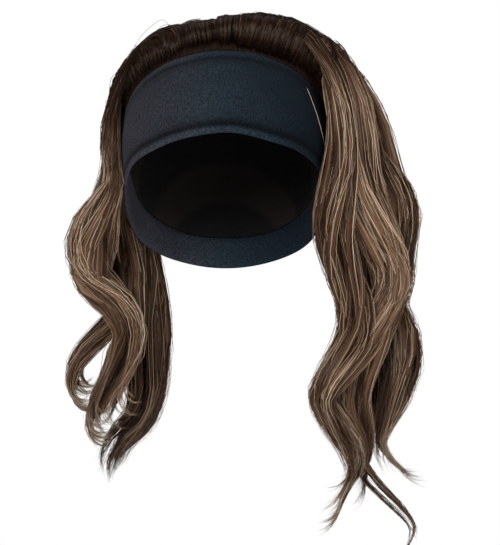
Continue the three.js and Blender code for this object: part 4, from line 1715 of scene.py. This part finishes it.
@dataclass(frozen=True)
class Sweep:
    """Hair that lies over the crown and goes under the locks at its ends. Angles are in degrees."""

    roots: tuple[float, float]
    turns: tuple[float, float]
    tilts: tuple[float, float]
    strands: int
    wisps: int = 16
    back: tuple[float, float] = (0, 0.1)
    climb: float = 0.6
    settle: float = 0.4
    shares: tuple[float, float] = (0.88, 1.0)
    end_share: float = 0.85
    bundled: bool = True

    POINTS = 60
    SCATTER = 0.12
    CLIMBS = (0.7, 1.15)
    LEAST_REACH = 2.2  # degrees
    OVERLAP = 0.85
    THICK = (0.6 * MM, 1.4 * MM)

    def build_wisps(self, rng: np.random.Generator) -> Wisps:
        """Makes the wisps that the strands follow."""
        rank = (np.arange(self.wisps) + 0.5) / self.wisps
        near = np.clip(rank + rng.uniform(-self.SCATTER, self.SCATTER, self.wisps), 0, 1)
        root_turn = self.roots[0] + (self.roots[1] - self.roots[0]) * rank
        back = rng.uniform(*self.back, self.wisps)
        end_turn = self.turns[0] + (self.turns[1] - self.turns[0]) * near
        end_tilt = rng.uniform(*self.tilts, self.wisps)
        full = CROWN.fullness(end_turn, np.clip(end_tilt / BAND.rear(end_turn), 0, 1))
        first = HEAD.point(end_turn, end_tilt, CAP_WALL + full * self.end_share)
        share = rng.uniform(*self.shares, self.wisps)
        climb = self.climb * rng.uniform(*self.CLIMBS, self.wisps)
        lines = PATHS.over(root_turn, back, first, share, climb, self.settle, self.POINTS)
        s = np.linspace(0, 1, self.POINTS)[None]
        reach = max(self.LEAST_REACH, abs(self.roots[1] - self.roots[0]) / self.wisps)
        side = np.radians(reach) * self.OVERLAP * HEAD.crown_height
        side = side * (1 + 0.8 * smooth(s, 0.1, 0.6)) * (1 - 0.4 * smooth(s, 0.8, 1.0))
        fore = self.THICK[0] + self.THICK[1] * smooth(s, 0, 0.4)
        shape = np.ones((self.wisps, 1))
        return Wisps(lines, BAND.direction(root_turn), shape * side, shape * fore)


class CrownHair:
    """Hair over the cap: a streaked shell under loose strands."""

    STEPS = 72
    SHELL_SHARE = 0.74
    SWEEPS = (
        Sweep(
            roots=(3, -58), turns=(-178, -124), tilts=(70, 112), strands=560, wisps=52, climb=0.7,
            shares=(0.7, 0.86),
        ),
        Sweep(
            roots=(-3, 44), turns=(178, 130), tilts=(70, 112), strands=400, wisps=44, climb=0.7,
            shares=(0.86, 0.94),
        ),
        Sweep(
            roots=(-24, -92), turns=(-84, -124), tilts=(58, 92), strands=230, wisps=24, climb=0.6,
            settle=0.5, shares=(0.84, 0.96), end_share=0.7,
        ),
        Sweep(
            roots=(-84, -112), turns=(-116, -150), tilts=(88, 116), strands=160, wisps=14, climb=0.4,
            shares=(0.75, 0.88),
        ),
        Sweep(
            roots=(88, 116), turns=(118, 150), tilts=(88, 116), strands=140, wisps=14, climb=0.4,
            shares=(0.7, 0.82),
        ),
        Sweep(
            roots=(182, 90), turns=(174, 118), tilts=(96, 126), strands=260, wisps=36, back=(0.3, 0.95),
            climb=0.1, settle=0.3, shares=(0.66, 0.72),
        ),
        Sweep(
            roots=(-182, -90), turns=(-174, -118), tilts=(96, 126), strands=260, wisps=36,
            back=(0.3, 0.95), climb=0.1, settle=0.3, shares=(0.66, 0.72),
        ),
        Sweep(
            roots=(-20, -62), turns=(-96, -128), tilts=(66, 96), strands=10, wisps=5, climb=0.5,
            shares=(0.9, 1.15), bundled=False,
        ),
    )
    SHELL_DIP = 0.62
    SHELL_RINGS = 15
    LIT = (-8, 90)
    POINTS = 16
    SHORTER = 0.2
    TONE = 0.46
    WISP_POINTS = 16
    WISP_SIDES = 8
    WISP_ROWS = 8
    WISP_SHARE = 0.8
    WISP_TONE = 0.21

    def __init__(self, finishes: HairFinishes, painter: HairPainter) -> None:
        """Keeps the finishes and the painter."""
        self.finishes = finishes
        self.painter = painter

    def shell(self) -> bpy.types.Object:
        """Closed shell of dense hair that the strands lie on, in the near-black finish that is painted shade
        under them.
        """
        stops = np.linspace(0, 1, self.SHELL_RINGS) ** 0.9
        outer = [(float(a), 1.0) for a in stops]
        inner = [(float(a), 0.0) for a in stops[::-1]]
        bm = spun_ring(outer + inner, self.STEPS, closed=False)
        layer = bm.loops.layers.uv.new(UV_MAP)
        for face in bm.faces:
            for corner, turn in zip(face.loops, unrolled_turns(face)):
                corner[layer].uv = (turn, math.hypot(corner.vert.co.x, corner.vert.co.y))

        def place(turn: float, along: float, layer: float) -> np.ndarray:
            """Point of the shell, which is lower near the headband at the front."""
            before = float(smooth(math.cos(math.radians(turn)), -0.2, 0.4))
            dip = self.SHELL_DIP * before * float(smooth(along, 0.5, 0.92))
            under = self.SHELL_SHARE * (1 - dip)
            height = CROWN.height(turn, along) * under if layer > 0.5 else 0.0
            tilt = along * BAND.rear(turn, 2 * GAP)
            return HEAD.point(turn, tilt, CAP_WALL + GAP + height)

        place_ring(bm, place)
        mesh = finished(bm, "crown_painted_shade_under_hair", self.finishes.under)
        return link_piece(mesh, "crown_painted_shade_under_hair", Slot.HAIR, "crown_hair")

    def loose(self) -> list[bpy.types.Object]:
        """Wisps and loose strands over the shell.

        Returns:
            The two pieces.
        """
        rng = np.random.default_rng(5)
        strands: Strands | None = None
        bundles: list[TubeMesh] = []
        for sweep in self.SWEEPS:
            wisps = sweep.build_wisps(rng)
            some = wisps.strands(rng, sweep.strands, self.POINTS, self.SHORTER)
            strands = some if strands is None else strands.joined(some)
            if not sweep.bundled:
                continue
            lines, across, fore = wisps.tubes(self.WISP_POINTS, self.WISP_SHARE)
            tones = self.painter.colour(rng, lines, self.WISP_TONE, self.LIT, 1.0, False)
            bundles.append(TubeMesh(lines.paths, across, fore, tones))
        fine = HairPainter(thickness=0.16 * MM, pale_share=0.34, early=1.0)
        across, fore = round_section(strands.paths, fine.thick(rng, strands))
        tones = fine.colour(rng, strands, self.TONE, self.LIT)
        single = TubeMesh(strands.paths, across, fore, tones)
        every = TubeMesh(
            np.concatenate([bundle.paths for bundle in bundles]),
            np.concatenate([bundle.across for bundle in bundles]),
            np.concatenate([bundle.fore for bundle in bundles]),
            np.concatenate([bundle.tones for bundle in bundles]),
            self.WISP_SIDES,
            self.WISP_ROWS,
            True,
        )
        made = []
        for name, form, finish in (
            ("crown_strands", single, self.finishes.strand),
            ("crown_wisps", every, self.finishes.crown_wisp),
        ):
            made.append(link_piece(form.build(name, finish), name, Slot.HAIR, "crown_hair"))
        return made

    def build(self) -> list[bpy.types.Object]:
        """Makes the shell, the wisps and the strands."""
        return [self.shell(), *self.loose()]


@dataclass
class Headband:
    """Wide tube of stretch cloth with a hem along each edge."""

    finish: bpy.types.Material
    thickness: float = BAND_WALL
    hem: float = 8 * MM
    groove: float = 1.3 * MM
    flat: tuple[float, float] = (0.076, 0.50)
    flat_area: float = 0.0290
    steps: int = 144
    fold_depth: float = 1.7 * MM
    fold_place: float = 0.42
    fold_bow: float = 0.14
    fold_width: float = 0.16
    ripple: float = 0.22 * MM
    wander: float = 0.5 * MM

    RING_RADIUS = 2

    def profile(self) -> list[tuple[float, float]]:
        """Section across the cloth: -1 at the front edge to 1 at the rear, and the layer."""
        hem = 2 * self.hem / BAND.front_width
        low = 1 - self.groove / self.thickness
        front = [
            (-1, 0.5), (-1 + hem * 0.08, 0.8), (-1 + hem * 0.3, 1), (-1 + hem * 0.75, 1),
            (-1 + hem * 0.93, low + 0.06), (-1 + hem, low), (-1 + hem * 1.1, low + 0.08),
            (-1 + hem * 1.5, 1),
        ]
        middle = [(float(a), 1.0) for a in np.linspace(-0.5, 0.5, 9)]
        rear = [(-a, layer) for a, layer in reversed(front)]
        inside = [(0.9, 0.0), (0.45, 0.0), (0, 0.0), (-0.45, 0.0), (-0.9, 0.0)]
        return front + middle + rear + inside

    def build(self) -> bpy.types.Object:
        """Makes the headband.

        Returns:
            The piece.
        """
        ring = [(self.RING_RADIUS + across, layer) for across, layer in self.profile()]
        bm = spun_ring(ring, self.steps, closed=True)
        self.unroll(bm)
        phases = np.random.default_rng(3).uniform(0, math.tau, 4)

        def place(turn: float, radius: float, layer: float) -> np.ndarray:
            """Point of the cloth, with its folds on the outside and uneven edges."""
            across = radius - self.RING_RADIUS
            a = math.radians(turn)
            front = 0.5 + 0.5 * math.cos(a)
            depth = self.fold(a, across, phases) * front * (1 - across**2)
            grow = layer * self.thickness + (depth if layer > 0.9 else 0.0)
            wave = math.sin(7 * a + phases[2]) + 0.6 * math.sin(13 * a + phases[3])
            tilt = BAND.tilt(turn, across, self.wander * wave * front * across)
            return HEAD.point(turn, tilt, grow)

        place_ring(bm, place)
        piece = link_piece(
            finished(bm, "stretch_headband", self.finish), "stretch_headband", Slot.BAND, "headband"
        )
        return piece

    def fold(self, a: float, across: float, phases: np.ndarray) -> float:
        """Depth of the soft folds that run along the cloth where it is pulled round the forehead.

        Args:
            a: radians round the head from the front.
            across: -1 at the front edge to 1 at the rear.
            phases: where the ripples start, in radians.

        Returns:
            Metres, below zero where the cloth is drawn in.
        """
        off = across - self.fold_place + self.fold_bow * math.cos(2 * a)
        drawn_in = self.fold_depth * math.exp(-((off / self.fold_width) ** 2))
        ripple = math.sin(5 * a + 3 * across + phases[0]) * math.sin(2.2 * across + phases[1])
        return self.ripple * ripple - drawn_in

    def unroll(self, bm: bmesh.types.BMesh) -> None:
        """Gives the band its map."""
        layer = bm.loops.layers.uv.new(UV_MAP)
        for face in bm.faces:
            inside = level_of(face) < 0.4
            middle = BandMap.inside_middle if inside else BandMap.outside_middle
            for corner, turn in zip(face.loops, unrolled_turns(face)):
                across = math.hypot(corner.vert.co.x, corner.vert.co.y) - self.RING_RADIUS
                u = BandMap.left_margin + BandMap.run * turn
                corner[layer].uv = (u, middle + BandMap.half_height * across)


@dataclass(frozen=True)
class LooseHair:
    """One light hair that lies over the headband. Places are across and up, in millimetres."""

    start: tuple[float, float] = (63.5, -43.0)
    end: tuple[float, float] = (79.0, -90.0)
    bow: float = 1.2
    points: int = 16
    radius: float = 0.2 * MM
    clearance: float = 0.8 * MM
    tone: float = 0.9

    def build(self, painter: HairPainter, finish: bpy.types.Material) -> bpy.types.Object:
        """Makes the hair.

        Args:
            painter: gives its colour.
            finish: its material.

        Returns:
            The piece.
        """
        t = np.linspace(0, 1, self.points)
        straight = self.start[0] + (self.end[0] - self.start[0]) * t
        x = (straight + self.bow * np.sin(math.pi * t)) * MM
        z = (self.start[1] + (self.end[1] - self.start[1]) * t) * MM
        clear = BAND_WALL + self.clearance
        p = HEAD.roundness
        up = np.where(z > -HEAD.crown_height, HEAD.crown_height, HEAD.jaw_reach) + clear
        left = 1 - (x / (HEAD.width / 2 + clear)) ** p - (np.abs(z + HEAD.crown_height) / up) ** p
        y = -(HEAD.length / 2 + clear) * np.maximum(left, 0.0) ** (1 / p)
        path = np.stack([x, y, z], axis=-1)[None]
        thick = self.radius * (1 - 0.6 * smooth(t, 0.7, 1.0))[None]
        tones = np.broadcast_to(painter.tones.colour(np.array(self.tone)), path.shape)
        across, fore = round_section(path, thick)
        mesh = TubeMesh(path, across, fore, tones, rows=1).build("loose_hair", finish)
        return link_piece(mesh, "loose_hair", Slot.HAIR)


@dataclass
class CapShell:
    """Thin cap inside, that the wefts are sewn to."""

    finish: bpy.types.Material
    flat: tuple[float, float] = (0.27, 0.31)
    flat_area: float = 0.0490
    steps: int = 72
    rings: int = 16

    def build(self) -> bpy.types.Object:
        """Makes the cap.

        Returns:
            The piece.
        """
        stops = [i / self.rings for i in range(self.rings + 1)]
        outer = [(a, 1.0) for a in stops]
        inner = [(a, 0.0) for a in reversed(stops)]
        bm = spun_ring(outer + inner, self.steps, closed=False)
        layer = bm.loops.layers.uv.new(UV_MAP)
        for face in bm.faces:
            middle = 0.25 if level_of(face) > 0.5 else 0.75
            for corner in face.loops:
                x, y, _ = corner.vert.co
                corner[layer].uv = (0.5 + 0.48 * x, middle + 0.24 * y)

        def place(turn: float, along: float, layer: float) -> np.ndarray:
            """Point of the cap."""
            return HEAD.point(turn, along * BAND.rear(turn, GAP), layer * CAP_WALL)

        place_ring(bm, place)
        piece = link_piece(finished(bm, "wefted_cap", self.finish), "wefted_cap", Slot.CAP, "cap")
        return piece


@dataclass(frozen=True)
class SoftLight:
    """A soft square light that faces the wig: where it stands, its side in metres and its watts."""

    name: str
    place: tuple[float, float, float]
    size: float
    power: float
    target: tuple[float, float, float] = (0, 0, -0.18)

    def build(self) -> None:
        """Puts the light in the scene."""
        data = bpy.data.lights.new(self.name, "AREA")
        data.shape = "SQUARE"
        data.size = self.size
        data.energy = self.power
        lamp = bpy.data.objects.new(self.name, data)
        lamp.location = self.place
        towards = Vector(self.target) - Vector(self.place)
        lamp.rotation_euler = towards.to_track_quat("-Z", "Y").to_euler()
        bpy.context.scene.collection.objects.link(lamp)


@dataclass
class Studio:
    """Camera, lights, a pale floor, and white all round as the camera sees it."""

    scale: float = 0.8 * MM  # metres to a pixel of the photo at the middle of the wig
    sensor: float = 36
    away: float = 1.75
    wide: int = 500
    tall: int = 545
    head_column: float = 225
    crown_row: float = 38
    floor_level: float = -0.9
    floor_half: float = 2.4
    ambient: float = 0.11
    lights: tuple[SoftLight, ...] = (
        SoftLight("key", (-0.6, -1.9, 0.5), 0.7, 40),
        SoftLight("fill", (1.2, -1.6, -0.2), 0.9, 15),
        SoftLight("top", (0.1, 0.3, 1.5), 0.8, 4),
        SoftLight("back", (0.3, 1.9, -0.1), 1.2, 3),
    )

    def camera(self) -> None:
        """Puts the camera square to the front, level with the middle of the picture."""
        data = bpy.data.cameras.new("camera")
        data.sensor_width = self.sensor
        data.lens = self.sensor * self.away / (self.tall * self.scale)
        camera = bpy.data.objects.new("camera", data)
        x = (self.wide / 2 - self.head_column) * self.scale
        z = (self.crown_row - self.tall / 2) * self.scale
        camera.location = (x, -self.away, z)
        camera.rotation_euler = (math.radians(90), 0, 0)
        bpy.context.scene.collection.objects.link(camera)
        bpy.context.scene.camera = camera

    def floor(self) -> None:
        """Pale floor, well below the wig."""
        bm = bmesh.new()
        bmesh.ops.create_grid(bm, x_segments=1, y_segments=1, size=self.floor_half)
        bmesh.ops.translate(bm, verts=bm.verts, vec=(0, 0, self.floor_level))
        mesh = bpy.data.meshes.new("floor")
        bm.to_mesh(mesh)
        bm.free()
        nodes = NodeTree("floor_paint")
        nodes.sockets(
            {
                "Base Color": (0.9, 0.9, 0.9, 1),
                "Roughness": 0.9,
                "Emission Color": (1, 1, 1, 1),
                "Emission Strength": 0.35,
            }
        )
        mesh.materials.append(nodes.material)
        item = bpy.data.objects.new("floor", mesh)
        bpy.context.scene.collection.objects.link(item)

    def surround(self) -> None:
        """White all round as the camera sees it, and dim as a light."""
        world = bpy.data.worlds.new("studio")
        bpy.context.scene.world = world
        world.use_nodes = True
        tree = world.node_tree
        back = tree.nodes["Background"]
        back.inputs["Color"].default_value = (1, 1, 1, 1)
        seen = tree.nodes.new("ShaderNodeLightPath")
        level = tree.nodes.new("ShaderNodeMapRange")
        level.inputs["To Min"].default_value = self.ambient
        level.inputs["To Max"].default_value = 1.0
        tree.links.new(seen.outputs["Is Camera Ray"], level.inputs["Value"])
        tree.links.new(level.outputs["Result"], back.inputs["Strength"])

    def build(self) -> None:
        """Sets the studio."""
        self.camera()
        for light in self.lights:
            light.build()
        self.floor()
        self.surround()
        bpy.context.scene.view_settings.view_transform = "Standard"


def main() -> None:
    """Builds the studio and every piece in order, and reports them."""
    logging.basicConfig(level=logging.INFO, format="%(name)s: %(message)s")
    Studio().build()
    crown_wisp = WispFinish(name="streaked_crown_fibre", streaks=800.0)
    finishes = HairFinishes(
        HairFinish().make(), WispFinish().make(), crown_wisp.make(), PaintedShadeUnderHairFinish().make()
    )
    painter = HairPainter()
    pieces = [Headband(KnitFinish().make()).build(), CapShell(CapFinish().make()).build()]
    pieces += CrownHair(finishes, painter).build()
    pieces += HangingHair(finishes, painter).build()
    pieces.append(LooseHair().build(painter, finishes.strand))
    total = 0
    for piece in pieces:
        piece.data.calc_loop_triangles()
        count = len(piece.data.loop_triangles)
        total += count
        log.info("%s: %d triangles", piece.name, count)
    log.info("%d pieces, %d triangles", len(pieces), total)


if __name__ == "__main__":
    main()
